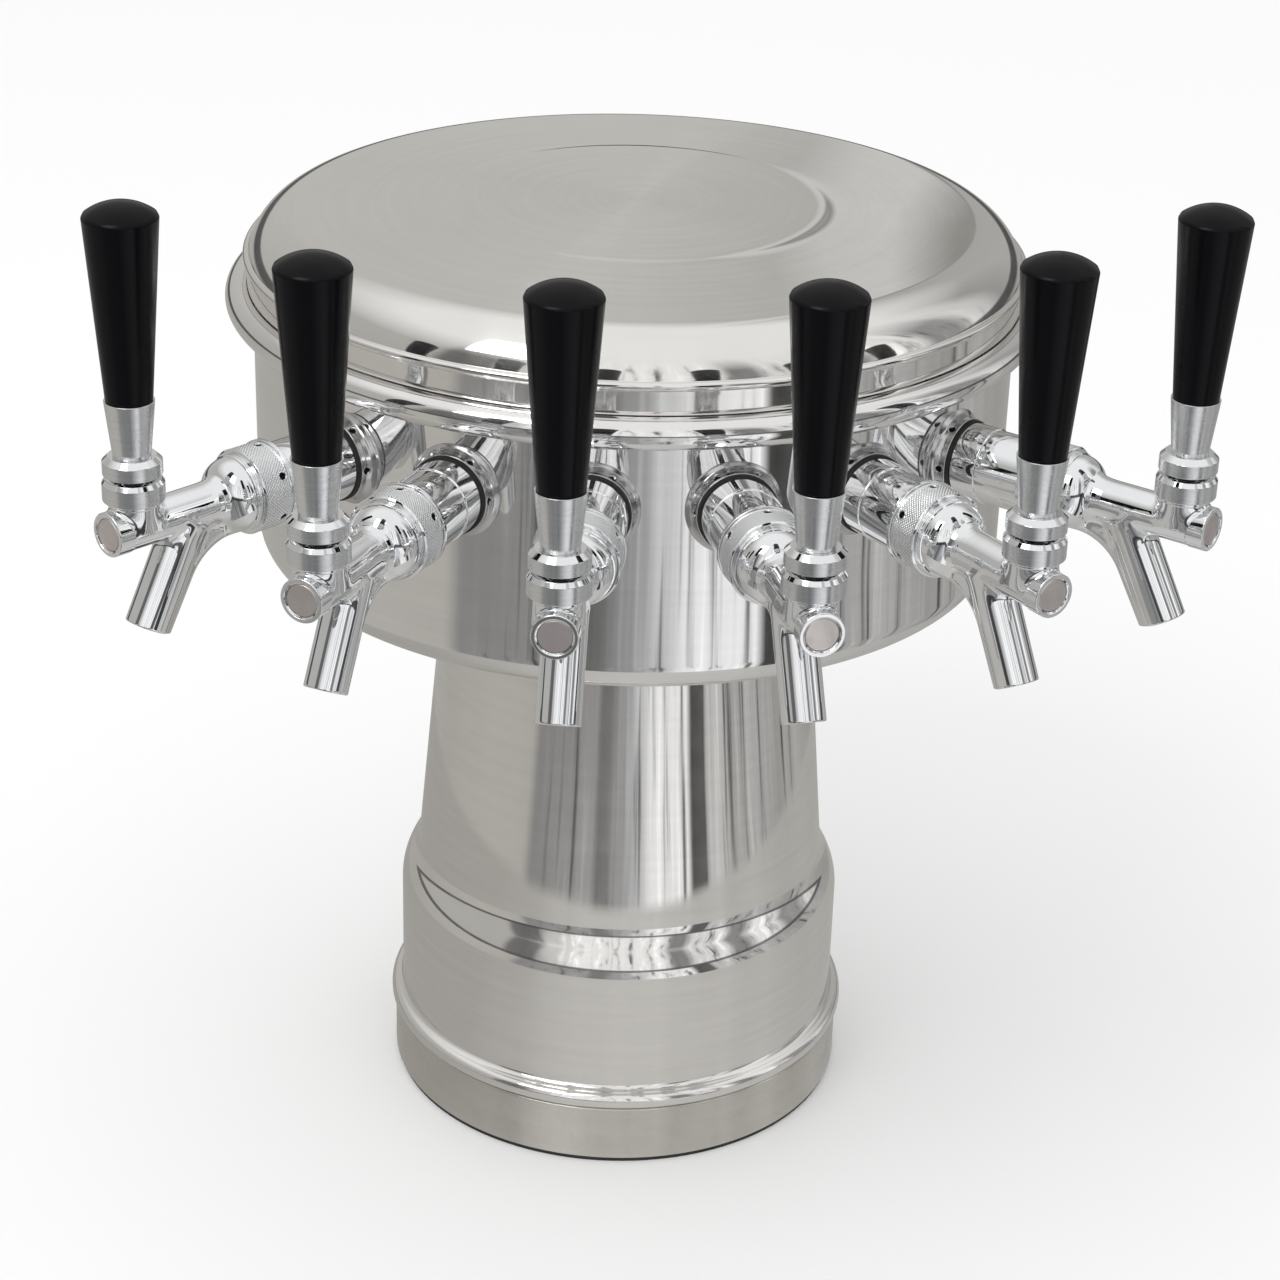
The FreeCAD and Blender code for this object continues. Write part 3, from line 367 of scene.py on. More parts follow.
def cell_points(value, cells):
    """Cells that the surface crosses, and the mean place of the crossings in each."""
    total = np.zeros(cells + (3,))
    hits = np.zeros(cells)

    def corner(offset):
        return value[tuple(slice(o, o + c) for o, c in zip(offset, cells))]

    for a in np.ndindex(2, 2, 2):
        for axis in range(3):
            if a[axis]:
                continue
            b = tuple(o + (n == axis) for n, o in enumerate(a))
            va, vb = corner(a), corner(b)
            crossed = (va < 0) != (vb < 0)
            t = np.where(crossed, va / np.where(crossed, va - vb, 1), 0)
            for n in range(3):
                total[..., n] += crossed * (a[n] + (t if n == axis else 0))
            hits += crossed
    live = hits > 0
    return live, np.stack(np.nonzero(live), -1) + total[live] / hits[live][:, None]


def net(field, low, high, step):
    """Closed quad mesh of a field's zero surface, with one point in each crossed cell."""
    axes = [np.arange(a, b + step, step) for a, b in zip(low, high)]
    shape = tuple(len(a) for a in axes)
    grid = np.stack(np.meshgrid(*axes, indexing="ij"), -1).reshape(-1, 3)
    value = np.concatenate([field(part) for part in np.array_split(grid, 24)]).reshape(shape)
    cells = tuple(n - 1 for n in shape)
    live, places = cell_points(value, cells)
    number = np.full(cells, -1)
    number[live] = np.arange(live.sum())
    faces = []
    for axis in range(3):
        start = [slice(1, n - 1) for n in shape]
        start[axis] = slice(0, shape[axis] - 1)
        ahead = list(start)
        ahead[axis] = slice(1, shape[axis])
        va, vb = value[tuple(start)], value[tuple(ahead)]
        index = np.stack(np.nonzero((va < 0) != (vb < 0)), -1)
        rising = (va < 0)[tuple(index.T)]
        index = index + 1 - np.eye(3, dtype=int)[axis]
        step_u = np.eye(3, dtype=int)[(axis + 1) % 3]
        step_v = np.eye(3, dtype=int)[(axis + 2) % 3]
        ring = [index - step_u - step_v, index - step_v, index, index - step_u]
        quad = np.stack([number[tuple(q.T)] for q in ring], -1)
        quad[~rising] = quad[~rising][:, ::-1]
        faces.append(quad)
    return places * step + np.array(low), np.concatenate(faces)


def casting_mesh():
    """The casting, its points moved onto the field's surface, its normals from the field."""
    verts, faces = net(faucet_field, GRID_LOW, GRID_HIGH, GRID_STEP)
    for _ in range(4):
        slope = gradient(faucet_field, verts)
        size = np.maximum((slope ** 2).sum(1), 0.25)
        verts = verts - slope * (np.clip(faucet_field(verts), -0.5, 0.5) / size)[:, None]
    normals = gradient(faucet_field, verts)
    normals /= np.maximum(np.linalg.norm(normals, axis=1), 1e-9)[:, None]
    return make_mesh("casting", verts, faces.tolist(), normals)


# ---------------------------------------------------------------- shader helpers

class Tree:
    """Short way of writing a node tree."""

    def __init__(self, tree):
        self.tree = tree

    def add(self, kind, settings=None, **inputs):
        """A new shader node with its settings and its inputs."""
        node = self.tree.nodes.new("ShaderNode" + kind)
        for name, value in (settings or {}).items():
            setattr(node, name, value)
        for name, value in inputs.items():
            self.feed(node, name.replace("_", " "), value)
        return node

    def feed(self, node, name, value):
        """Link or set one input, by its name or its number."""
        socket = node.inputs[int(name) if name.isdigit() else name]
        if isinstance(value, bpy.types.NodeSocket):
            self.tree.links.new(value, socket)
        elif isinstance(value, bpy.types.Node):
            self.tree.links.new(value.outputs[0], socket)
        else:
            socket.default_value = value

    def math(self, operation, one, two=0.0):
        """Arithmetic on one or two numbers."""
        node = self.add("Math", {"operation": operation})
        self.feed(node, "0", one)
        self.feed(node, "1", two)
        return node.outputs[0]

    def vector(self, operation, one, two=(0, 0, 0)):
        """Arithmetic on one or two vectors; returns the node, which has two outputs."""
        node = self.add("VectorMath", {"operation": operation})
        self.feed(node, "0", one)
        self.feed(node, "1", two)
        return node

    def ramp(self, value, stops):
        """Colour between stops, each a position and a red, green and blue."""
        node = self.add("ValToRGB", Fac=value)
        places = node.color_ramp.elements
        while len(places) < len(stops):
            places.new(0.5)
        for place, (position, colour) in zip(places, stops):
            place.position = position
            place.color = (*colour, 1)
        return node.outputs[0]

    def noise(self, vector, scale, detail, rough):
        """Cloudy noise round 0.5."""
        node = self.add("TexNoise", Vector=vector, Scale=scale, Detail=detail, Roughness=rough)
        return node.outputs["Fac"]

    def mix(self, factor, one, two, blend="MIX"):
        """Colour between two."""
        node = self.add("Mix", {"data_type": "RGBA", "blend_type": blend})
        for number, value in (("0", factor), ("6", one), ("7", two)):
            self.feed(node, number, value)
        return node.outputs[2]

    def step(self, value, low, high):
        """0 below low, 1 above high."""
        node = self.add("MapRange", Value=value)
        node.inputs["From Min"].default_value = low
        node.inputs["From Max"].default_value = high
        return node.outputs[0]

    def spread(self, noise, low, high):
        """A noise mapped from where most of it lies to a range."""
        node = self.add("MapRange", Value=noise)
        ends = (("From Min", 0.3), ("From Max", 0.7), ("To Min", low), ("To Max", high))
        for name, number in ends:
            node.inputs[name].default_value = number
        return node.outputs[0]

    def bump(self, height, distance, normal=None):
        """Normals tilted by a height that counts for a distance in metres."""
        node = self.add("Bump", Strength=1.0, Distance=distance, Height=height)
        if normal is not None:
            self.feed(node, "Normal", normal)
        return node.outputs[0]

    def turned_grain(self, rate, spread=0.5):
        """Noise drawn out round the axis of a turned piece, rate lines per millimetre."""
        turn = self.add("Attribute", {"attribute_name": "turn"})
        parts = self.add("SeparateXYZ", Vector=turn.outputs["Vector"])
        run = self.math("ADD", parts.outputs[0], parts.outputs[1])
        cos = self.math("MULTIPLY", self.math("COSINE", parts.outputs[2]), spread)
        sin = self.math("MULTIPLY", self.math("SINE", parts.outputs[2]), spread)
        where = self.add("CombineXYZ", X=self.math("MULTIPLY", run, rate), Y=cos, Z=sin)
        return self.noise(where, 1.0, 3.0, 0.6)

    def place(self):
        """A piece's own coordinates, in metres."""
        return self.add("TexCoord").outputs["Object"]

    def two_tone(self, noise, colour, shade):
        """A colour that a noise darkens down to a share of itself."""
        darker = [c * shade for c in colour[:3]] + [1]
        return self.mix(self.spread(noise, 0, 1), colour, darker)


def new_material(name):
    """An empty node material, its tree and its shader."""
    material = bpy.data.materials.new(name)
    material.use_nodes = True
    return material, Tree(material.node_tree), material.node_tree.nodes["Principled BSDF"]


# ---------------------------------------------------------------- materials

SMOOTH = 0.00001           # depths of bump in metres
FINE = 0.00002
GRAINY = 0.00003


def sheet_steel(name, colour, rough, blur, brush, wave, share):
    """Polished spun sheet: a mirror with slight waves, under fine turning marks.

    blur is the roughness of the marks' streaks, share how much of the light they take,
    brush the depth of the marks and wave the depth of the waves.
    """
    material, tree, shader = new_material(name)
    fine = tree.turned_grain(2.2)
    broad = tree.turned_grain(0.25, 1.2)
    place = tree.place()
    soft = tree.noise(place, 9.0, 2.0, 0.45)
    marks = tree.noise(place, 60.0, 5.0, 0.7)
    normal = tree.bump(fine, brush, tree.bump(soft, wave))
    tint = tree.two_tone(broad, colour, 0.955)
    ragged = tree.math("ADD", tree.spread(marks, rough * 0.75, rough * 1.3),
                       tree.spread(fine, -0.012, 0.012))
    tree.feed(shader, "Base Color", tint)
    tree.feed(shader, "Metallic", 1.0)
    tree.feed(shader, "Roughness", ragged)
    tree.feed(shader, "Normal", normal)
    drawn = tree.add("BsdfAnisotropic", Color=tint, Roughness=blur, Anisotropy=0.85, Normal=normal)
    tree.feed(drawn, "Tangent", tree.add("Tangent", {"direction_type": "RADIAL", "axis": "Z"}))
    blend = tree.add("MixShader", Fac=tree.spread(marks, share * 0.6, share * 1.4))
    tree.feed(blend, "1", shader)
    tree.feed(blend, "2", drawn)
    tree.feed(material.node_tree.nodes["Material Output"], "Surface", blend)
    return material


def chrome(name, colour, rough, wave):
    """Bright plated metal with faint smudges and polishing marks."""
    material, tree, shader = new_material(name)
    place = tree.place()
    haze = tree.noise(place, 90.0, 4.0, 0.6)
    soft = tree.noise(place, 70.0, 2.0, 0.4)
    tree.feed(shader, "Base Color", tree.two_tone(haze, colour, 0.94))
    tree.feed(shader, "Metallic", 1.0)
    tree.feed(shader, "Roughness", tree.spread(haze, rough * 0.5, rough * 1.7))
    tree.feed(shader, "Normal", tree.bump(soft, wave))
    return material


def satin(name, colour, rough, rate, depth):
    """Turned metal with fine rings round its axis, rate rings per millimetre."""
    material, tree, shader = new_material(name)
    rings = tree.turned_grain(rate)
    stains = tree.noise(tree.place(), 120.0, 4.0, 0.6)
    tree.feed(shader, "Base Color", tree.two_tone(rings, colour, 0.88))
    tree.feed(shader, "Metallic", 1.0)
    tree.feed(shader, "Roughness", tree.spread(stains, rough * 0.8, rough * 1.25))
    tree.feed(shader, "Normal", tree.bump(rings, depth))
    return material


def plain(name, colour, rough, metallic=0.0, depth=GRAINY, scale=400.0, shine=0.5):
    """Moulded or machined stock with a fine grain and slight colour change."""
    material, tree, shader = new_material(name)
    place = tree.place()
    grain = tree.noise(place, scale, 4.0, 0.6)
    broad = tree.noise(place, scale / 12, 4.0, 0.6)
    tree.feed(shader, "Base Color", tree.two_tone(broad, colour, 0.82))
    tree.feed(shader, "Metallic", metallic)
    tree.feed(shader, "Roughness", tree.spread(broad, rough * 0.85, rough * 1.2))
    tree.feed(shader, "Normal", tree.bump(grain, depth))
    tree.feed(shader, "Specular IOR Level", shine)
    return material


MATERIALS = {
    "lid": sheet_steel("lid_steel", (0.87, 0.855, 0.83, 1), rough=0.05, blur=0.20,
                       brush=0.000002, wave=0.0003, share=0.14),
    "drum": sheet_steel("drum_steel", (0.88, 0.87, 0.86, 1), rough=0.022, blur=0.20,
                        brush=0.000001, wave=0.0005, share=0.14),
    "column": sheet_steel("column_steel", (0.88, 0.865, 0.845, 1), rough=0.03, blur=0.22,
                          brush=0.000002, wave=0.0005, share=0.2),
    "band": sheet_steel("band_steel", (0.76, 0.74, 0.70, 1), rough=0.22, blur=0.34,
                        brush=0.000016, wave=0.00006, share=0.4),
    "chrome": chrome("chrome", (0.90, 0.91, 0.92, 1), rough=0.035, wave=0.00004),
    "knurl": chrome("knurled_chrome", (0.84, 0.85, 0.86, 1), rough=0.16, wave=SMOOTH),
    "satin": satin("satin_chrome", (0.80, 0.81, 0.82, 1), rough=0.25, rate=6.0, depth=FINE),
    "collar": satin("collar_satin", (0.60, 0.60, 0.60, 1), rough=0.16, rate=5.0, depth=SMOOTH),
    "aluminium": satin("turned_aluminium", (0.83, 0.84, 0.85, 1), rough=0.24, rate=4.0,
                       depth=GRAINY),
    "face": plain("turned_face", (0.80, 0.74, 0.72, 1), 0.42, metallic=1.0, depth=FINE, scale=900),
    "grip": plain("grip_black", (0.003, 0.003, 0.004, 1), 0.24, depth=SMOOTH, scale=900,
                  shine=0.12),
    # painted shade: near-black fill for the insides of the radial holes
    "hole": plain("hole_shadow", (0.02, 0.02, 0.02, 1), 0.5, metallic=0.6, depth=SMOOTH),
    "rubber": plain("black_rubber", (0.02, 0.02, 0.02, 1), 0.6, scale=700),
    "steel": plain("machined_steel", (0.62, 0.62, 0.63, 1), 0.3, metallic=1.0, depth=SMOOTH),
    "copper": plain("copper", (0.80, 0.42, 0.27, 1), 0.25, metallic=1.0, depth=SMOOTH),
    "brass": plain("brass", (0.78, 0.62, 0.33, 1), 0.28, metallic=1.0, depth=SMOOTH),
    "hose": plain("hose", (0.72, 0.74, 0.74, 1), 0.35, scale=300),
    "plastic": plain("white_plastic", (0.85, 0.85, 0.82, 1), 0.45, scale=500),
}
CAD_FINISH = {
    "neck_ring": "steel", "neck_screws": "steel", "base_gasket": "rubber",
    "coolant_loop": "copper", "shank_washers": "rubber", "shanks": "steel",
    "shank_locknuts": "brass", "tailpieces": "steel", "beverage_lines": "hose",
    "friction_washers": "plastic", "plunger": "face", "plunger_seal": "rubber",
    "lever": "steel",
}


# ---------------------------------------------------------------- lid, drum and column

SHEET = 1.2                # thickness of the spun sheet
LID_TOP = 425.2
LID_FOOT = 390.6
LID_RADIUS = 167.4
LID_DISC = 82.0            # middle of the step round the domed disc
LID_SHOULDER = (143.54, 397.0)         # centre of the round shoulder
LID_ROUND = 24.0
LID_BEAD = (167.2, 402.6)              # centre of the bead
LID_BEAD_RADIUS = 1.7
LID_PLUG = 163.3           # ring that drops inside the drum's rim
LID_PLUG_FOOT = 383.6
RIM = (170.3, 384.5)       # centre of the drum's rolled rim
RIM_RADIUS = 6.5
DRUM_FOOT = 268.0
DRUM_ROUND = 14.0          # outer fillet at the drum's foot
NECK = 60.0                # radius of the opening between drum and column
COLUMN_TOP = 80.1
SKIRT_RADIUS = 102.9
SKIRT_FOOT = 28.8
SKIRT_BEAD = (104.1, 33.0)
BEAD_RADIUS = 4.2
SWELL = (75.9, 92.0)       # centres of the column's outward and inward bends
SWELL_ROUND = 27.0
WAIST = (114.41, 118.944)
WAIST_ROUND = 20.0
BASE_RADIUS = 106.5
BASE_FOOT = 2.0
BASE_PLUG = 101.6          # lip of the base inside the skirt
BASE_WALL = 1.5


def lid_mesh():
    """Slightly domed disc, round shoulder, bead, skirt and a plug that fits in the drum."""
    wall = LID_RADIUS - 2.2
    plug = LID_PLUG - SHEET
    return lathe("lid_shell", [
        (0, LID_TOP), (LID_DISC - 3, LID_TOP - 0.22, 120), (LID_DISC + 3, LID_TOP - 1.08, 120),
        *arc(*LID_SHOULDER, LID_ROUND, 87, 19, 60), (166.5, 404.2, 0.5),
        *arc(*LID_BEAD, LID_BEAD_RADIUS, 70, -75, 14), (LID_RADIUS, 400.6, 0.5),
        (LID_RADIUS, LID_FOOT, 0.5), (LID_PLUG, LID_FOOT, 0.3), (LID_PLUG, LID_PLUG_FOOT, 0.3),
        (plug, LID_PLUG_FOOT, 0.3), (plug, LID_FOOT + SHEET, 0.5),
        (wall, LID_FOOT + SHEET, 0.5), (wall, 404.0, 2),
        *arc(*LID_SHOULDER, LID_ROUND - SHEET, 19, 87, 30, True),
        (LID_DISC, LID_TOP - 2.2, 60), (0, LID_TOP - SHEET)],
        segments=512, closed=False)


def drum_mesh():
    """Flat floor, wall and rolled rim."""
    inner = DRUM_RADIUS - SHEET
    return lathe("drum_body", [
        (NECK, DRUM_FOOT, 0.3), (DRUM_RADIUS, DRUM_FOOT, DRUM_ROUND), (DRUM_RADIUS, 379.0, 1.0),
        *arc(*RIM, RIM_RADIUS, -130, 176, 60), (inner, 380.5, 0.5),
        (inner, DRUM_FOOT + SHEET, DRUM_ROUND - SHEET), (NECK, DRUM_FOOT + SHEET, 0.3)],
        segments=512)


def column_mesh():
    """Taper, swelling through a shoulder into a straight skirt with a rolled bead."""
    foot = SKIRT_RADIUS - SHEET
    return lathe("column_body", [
        (NECK, DRUM_FOOT - SHEET, 0.3), (COLUMN_TOP, DRUM_FOOT - SHEET, 1), (93.8, 112.0, 5),
        (foot, 96.0, 14), (foot, SKIRT_FOOT, 0.3), (SKIRT_BEAD[0], SKIRT_FOOT, 0.3),
        *arc(*SKIRT_BEAD, BEAD_RADIUS, -85, 75, 24), (SKIRT_RADIUS, 39.5, 1.8),
        (SKIRT_RADIUS, 85), *arc(*SWELL, SWELL_ROUND, 0, 34.98, 30),
        *arc(*WAIST, WAIST_ROUND, 214.98, 185.04, 16, True),
        (COLUMN_TOP + SHEET, DRUM_FOOT, 0.6), (NECK, DRUM_FOOT, 0.3)], segments=384)


def base_mesh():
    """Heavy band with a floor and a lip that centres the column."""
    inner = BASE_PLUG - BASE_WALL
    wall = BASE_RADIUS - BASE_WALL
    return lathe("base_band", [
        (NECK, BASE_FOOT, 0.3), (BASE_RADIUS, BASE_FOOT, 0.8), (BASE_RADIUS, SKIRT_FOOT, 0.9),
        (BASE_PLUG, SKIRT_FOOT, 0.3), (BASE_PLUG, 39.8, 0.3), (inner, 39.8, 0.3),
        (inner, SKIRT_FOOT - BASE_WALL, 0.3), (wall, SKIRT_FOOT - BASE_WALL, 0.3), (wall, 5, 0.3),
        (NECK, 5, 0.3)], segments=384)


# ---------------------------------------------------------------- pieces of a tap

# Radii and places along the shank's axis (drum side negative) or up the handle's axis.

SHANK = 11.2               # hole through the pieces that sit on the shank
COLLAR_FRONT = -99.0
COLLAR_HOLES = -101.5
SLEEVE_BACK, SLEEVE_FRONT = -97.4, -65.6
NUT_BACK, NUT_FRONT = -65.5, -50.0
NUT_RADIUS = 17.3
NUT_FLANGE = 17.8
NUT_HOLES = -60.2
HOLES = 6                  # radial holes round a collar or a nut
HOLE_DEPTH = 2.0
HOLE_EDGE = 0.35           # width of the slope at a hole's rim
KNURLS = 76                # diamonds round the nut
KNURL_LENGTH = 1.42
KNURL_START = -62.6
KNURL_DEPTH = 0.42
KNURL_BACK, KNURL_FRONT = -62.5, -50.9
PLUNGER_WAY = 6.56         # radius of the boss's opening
BONNET_FOOT = 11.55
GRIP_FOOT = 51.6


def hole_gap(h, r, angle, height, turn=0.0):
    """Distance to the nearest of the radial holes round a turned piece."""
    phase = (angle * HOLES / (2 * math.pi) + turn) % 1.0
    across = (phase - 0.5) * 2 * math.pi / HOLES * r
    return np.hypot(across, h - height)


def hole_depth(gap, radius):
    """How far the wall goes in at a distance from a blind hole's middle."""
    return -HOLE_DEPTH * np.clip((radius - gap) / HOLE_EDGE + 0.5, 0, 1)


def collar_relief(h, r, angle):
    """Blind radial holes round the collar."""
    return hole_depth(hole_gap(h, r, angle, COLLAR_HOLES, 0.5), 1.2)


def nut_relief(h, r, angle):
    """Diamond knurl with spanner holes in it."""
    around = angle * KNURLS / (2 * math.pi)
    along = (h - KNURL_START) / KNURL_LENGTH
    one = np.abs((around + along) % 1.0 - 0.5) * 2
    two = np.abs((around - along) % 1.0 - 0.5) * 2
    gap = hole_gap(h, r, angle, NUT_HOLES)
    fade = np.clip(np.minimum(h - KNURL_BACK, KNURL_FRONT - h) / 0.3, 0, 1)
    fade = fade * np.clip((gap - 1.65) / 0.3, 0, 1)
    return hole_depth(gap, 1.4) - KNURL_DEPTH * (1 - np.minimum(one, two)) * fade


def saddle(mesh):
    """Fit the rear face of a collar to the drum's wall."""
    co = np.zeros(len(mesh.vertices) * 3)
    mesh.vertices.foreach_get("co", co)
    co = co.reshape(-1, 3)
    wall = np.sqrt(DRUM_RADIUS ** 2 - (co[:, 1] / MM) ** 2) - REACH
    co[:, 0] = np.maximum(co[:, 0], wall * MM)
    mesh.vertices.foreach_set("co", co.ravel())
    mesh.update()


def mark_faces(mesh, choose):
    """Material index of every face, from its middle in millimetres."""
    values = []
    for face in mesh.polygons:
        x, y, z = face.center / MM
        values.append(choose(x, math.hypot(y, z)))
    mesh.polygons.foreach_set("material_index", values)


def bright_edges(mesh):
    """Second material on every face that isn't part of the straight outer wall."""
    values = [int(abs(face.normal.z) > 0.25) for face in mesh.polygons]
    mesh.polygons.foreach_set("material_index", values)


def collar_finish(x, radius):
    """Satin, with painted shade in the holes."""
    return int(abs(x - COLLAR_HOLES) < 1.7 and 14.5 < radius < 16.6)


def nut_finish(x, radius):
    """Knurl, bright rims, painted shade in the spanner holes."""
    if KNURL_BACK < x < KNURL_FRONT:
        return 2 if 15 < radius < 16.75 else 0
    return 1


def collar_mesh():
    """Saddle collar on the drum."""
    mesh = lathe("collar", [
        (SHANK, -108.5, 0.2), (19.6, -108.5, 0.2), (19.6, -104.9, 0.4), (17.9, -103.6, 3.0),
        (16.9, -101.6, 2.0), (16.9, COLLAR_FRONT, 0.4), (SHANK, COLLAR_FRONT, 0.2)],
        "X", 360, spacing=0.25, relief=collar_relief, span=(-104.5, -99.5))
    saddle(mesh)
    mark_faces(mesh, collar_finish)
    return mesh


def sleeve_mesh():
    """Stepped sleeve over the shank."""
    return lathe("sleeve", [
        (SHANK, SLEEVE_BACK, 0.2), (15.7, SLEEVE_BACK, 0.3), (15.7, -86.3, 0.3),
        (15.2, -86.0, 0.15), (15.2, SLEEVE_FRONT, 0.3), (SHANK, SLEEVE_FRONT, 0.2)], "X", 160)


def nut_mesh():
    """Coupling nut with a rear flange."""
    mesh = lathe("nut", [
        (11.4, NUT_BACK, 0.2), (NUT_FLANGE, NUT_BACK, 0.4), (NUT_FLANGE, -63.5, 0.3),
        (16.7, -63.4, 0.1), (16.7, -62.8, 0.1), (NUT_RADIUS, -62.7, 0.15),
        (NUT_RADIUS, -50.6, 0.4), (16.5, NUT_FRONT, 0.3), (14.4, NUT_FRONT, 0.2),
        (14.4, -63, 0.2), (11.4, -63, 0.2)],
        "X", KNURLS * 8, spacing=0.18, relief=nut_relief, span=(-62.62, -50.8))
    mark_faces(mesh, nut_finish)
    return mesh


def bell_mesh():
    """Rear of the faucet's bell, with two turned grooves."""
    grooves = []
    for back, width, front in ((-49.35, 0.2, 15.6), (-48.35, 0.15, 15.55)):
        grooves += [(15.6, back, 0.12), (15.42, back + 0.1, 0.08)]
        grooves += [(15.42, back + 0.1 + width, 0.08), (front, back + 0.2 + width, 0.12)]
    return lathe("bell_ring", [
        (10.2, -60.4, 0.3), (14.3, -60.4, 0.5), (14.3, -50.0, 0.1), (15.6, -50.0, 0.3), *grooves,
        (15.5, -47.4, 0.3), (14.85, -47.1, 0.15), (13.5, -47.1, 0.2), (13.5, -51, 0.2),
        (6.7, -51, 0.2), (6.7, -52.0, 0.2), (10.2, -52.0, 0.2)], "X", 192)


def boss_mesh():
    """Ring round the plunger's face."""
    return lathe("boss_ring", [
        (PLUNGER_WAY, 5.0, 0.1), (8.3, 5.0, 0.2), (8.8, 6.0, 0.35), (8.8, 13.2, 0.5),
        (7.3, 13.2, 0.15), (7.1, 12.9, 0.1), (PLUNGER_WAY, 12.6, 0.1)], "X", 128)


def lip_mesh():
    """Turned top of the faucet's neck."""
    return lathe("neck_lip", [
        (6.8, 9.6, 0.1), (9.9, 9.6, 0.1), (10.4, 10.2, 0.3), (10.4, 11.4, 0.3), (8.55, 11.4, 0.1),
        (8.55, 14.9, 0.2), (6.8, 14.9, 0.2)], "Z", 128)


def bonnet_mesh():
    """Bonnet nut that holds the lever's ball down."""
    mesh = lathe("bonnet", [
        (8.7, BONNET_FOOT, 0.2), (12, BONNET_FOOT, 0.45), (12, 18.5, 0.35), (10.8, 20.3, 0.35),
        (9.1, 20.3, 0.3), (7.2, 17.5, 0.3), (7.2, 16.3, 0.15), (8.7, 16.3, 0.15)], "Z", 128)
    bright_edges(mesh)
    return mesh


def collar_nut_mesh():
    """Collar on the lever, under the ferrule."""
    mesh = lathe("collar_nut", [
        (4.8, 26.2, 0.2), (7.6, 24.9), (10.72, 22.05, 0.25), (11.5, 22.05, 0.35),
        (11.5, 27.4, 0.35), (9.3, 29.5, 0.3), (4.8, 29.5, 0.2)], "Z", 128)
    bright_edges(mesh)
    return mesh


def ferrule_mesh():
    """Tapered ferrule with a spigot up into the grip."""
    return lathe("ferrule", [
        (0, 43.4), (4.8, 43.4, 0.2), (4.8, 29.5, 0.2), (7.3, 29.5, 0.3), (9.7, GRIP_FOOT, 0.25),
        (4.7, GRIP_FOOT, 0.2), (4.7, 69.6, 0.3), (0, 69.6)], "Z", 128, closed=False)


def grip_mesh():
    """Long taper under a domed top."""
    dome = arc(0, 105.86, 22.54, 51.5, 90, 24)[1:]
    foot = GRIP_FOOT + 0.05
    return lathe("grip", [
        (0, 71.6), (4.75, 71.6, 0.2), (4.75, foot, 0.3), (9.0, foot, 0.7), (14.25, 122.4, 0.9),
        *dome], "Z", 160, closed=False)


# ---------------------------------------------------------------- putting the pieces in place

def show(name, mesh, keys, body, node, place=None):
    """Put a piece on a CAD body, standing for a CAD node, with materials on its mesh."""
    if not mesh.materials:
        for key in keys:
            mesh.materials.append(MATERIALS[key])
    thing = bpy.data.objects.new(name, mesh)
    bpy.context.scene.collection.objects.link(thing)
    thing.matrix_world = place or Matrix.Identity(4)
    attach(thing, body)
    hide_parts(node)


def build_tower():
    """Lid, drum, column and base."""
    show("lid_shell", lid_mesh(), ["lid"], "lid", "lid")
    show("drum_body", drum_mesh(), ["drum"], "tower", "drum_shell")
    show("column_body", column_mesh(), ["column"], "tower", "column_shell")
    show("base_band", base_mesh(), ["band"], "tower", "base_ring")


def build_taps():
    """Everything that is repeated at each tap, each mesh shared by the six taps."""
    # name, mesh, materials, body, CAD node and slot; a star stands for the tap's number
    pieces = [
        ("shank_collar", collar_mesh(), ["collar", "hole"], "tower", "shank_collars",
         "satin_steel"),
        ("shank_sleeve", sleeve_mesh(), ["chrome"], "tower", "shank_sleeves", "chrome"),
        ("coupling_nut", nut_mesh(), ["knurl", "chrome", "hole"], "tower", "coupling_nuts",
         "chrome"),
        ("faucet_casting", casting_mesh(), ["chrome"], "tower", "faucet_body_*", "chrome"),
        ("faucet_bell_ring", bell_mesh(), ["chrome"], "tower", "faucet_body_*", "chrome"),
        ("faucet_boss_ring", boss_mesh(), ["chrome"], "tower", "faucet_body_*", "chrome"),
        ("faucet_neck_lip", lip_mesh(), ["chrome"], "tower", "faucet_body_*", "chrome"),
        ("bonnet_nut", bonnet_mesh(), ["satin", "chrome"], "tower", "bonnets", "satin_chrome"),
        ("collar_nut", collar_nut_mesh(), ["satin", "chrome"], "lever_*", "lever_collar_*",
         "satin_chrome"),
        ("handle_ferrule", ferrule_mesh(), ["aluminium"], "lever_*", "ferrule_*", "aluminium"),
        ("handle_grip", grip_mesh(), ["grip"], "lever_*", "grip_*", "grip_black"),
    ]
    for tap in TAPS:
        for name, mesh, keys, body, node, slot in pieces:
            body, node = body.replace("*", str(tap)), node.replace("*", str(tap))
            show("%s_%d" % (name, tap), mesh, keys, body, node, tap_place(tap))


def finish_cad_nodes():
    """Materials for the CAD nodes that stay in view."""
    for name, thing in NODES.items():
        kind = name.rstrip("0123456789").rstrip("_")
        key = CAD_FINISH.get(kind)
        if key:
            thing.data.materials.clear()
            thing.data.materials.append(MATERIALS[key])


# ---------------------------------------------------------------- studio

CAMERA_TURN = -4.66        # degrees from -Y to the camera, positive towards +X
CAMERA_AWAY = 1.2364       # from the tower's axis, in metres
CAMERA_HEIGHT = 0.8091
AIM_HEIGHT, AIM_SIDE = 0.2149, 0.00675
CAMERA_ROLL = 0.0298       # radians
LENS, SENSOR = 83.9, 36.0
PAINTED_TABLE_RADIUS = 0.42
ROOM_EYE = (0, 0, 0.3)     # the studio painted on the floor past the painted table's edge is drawn as seen from here
FLOOR_HALF = 6.0

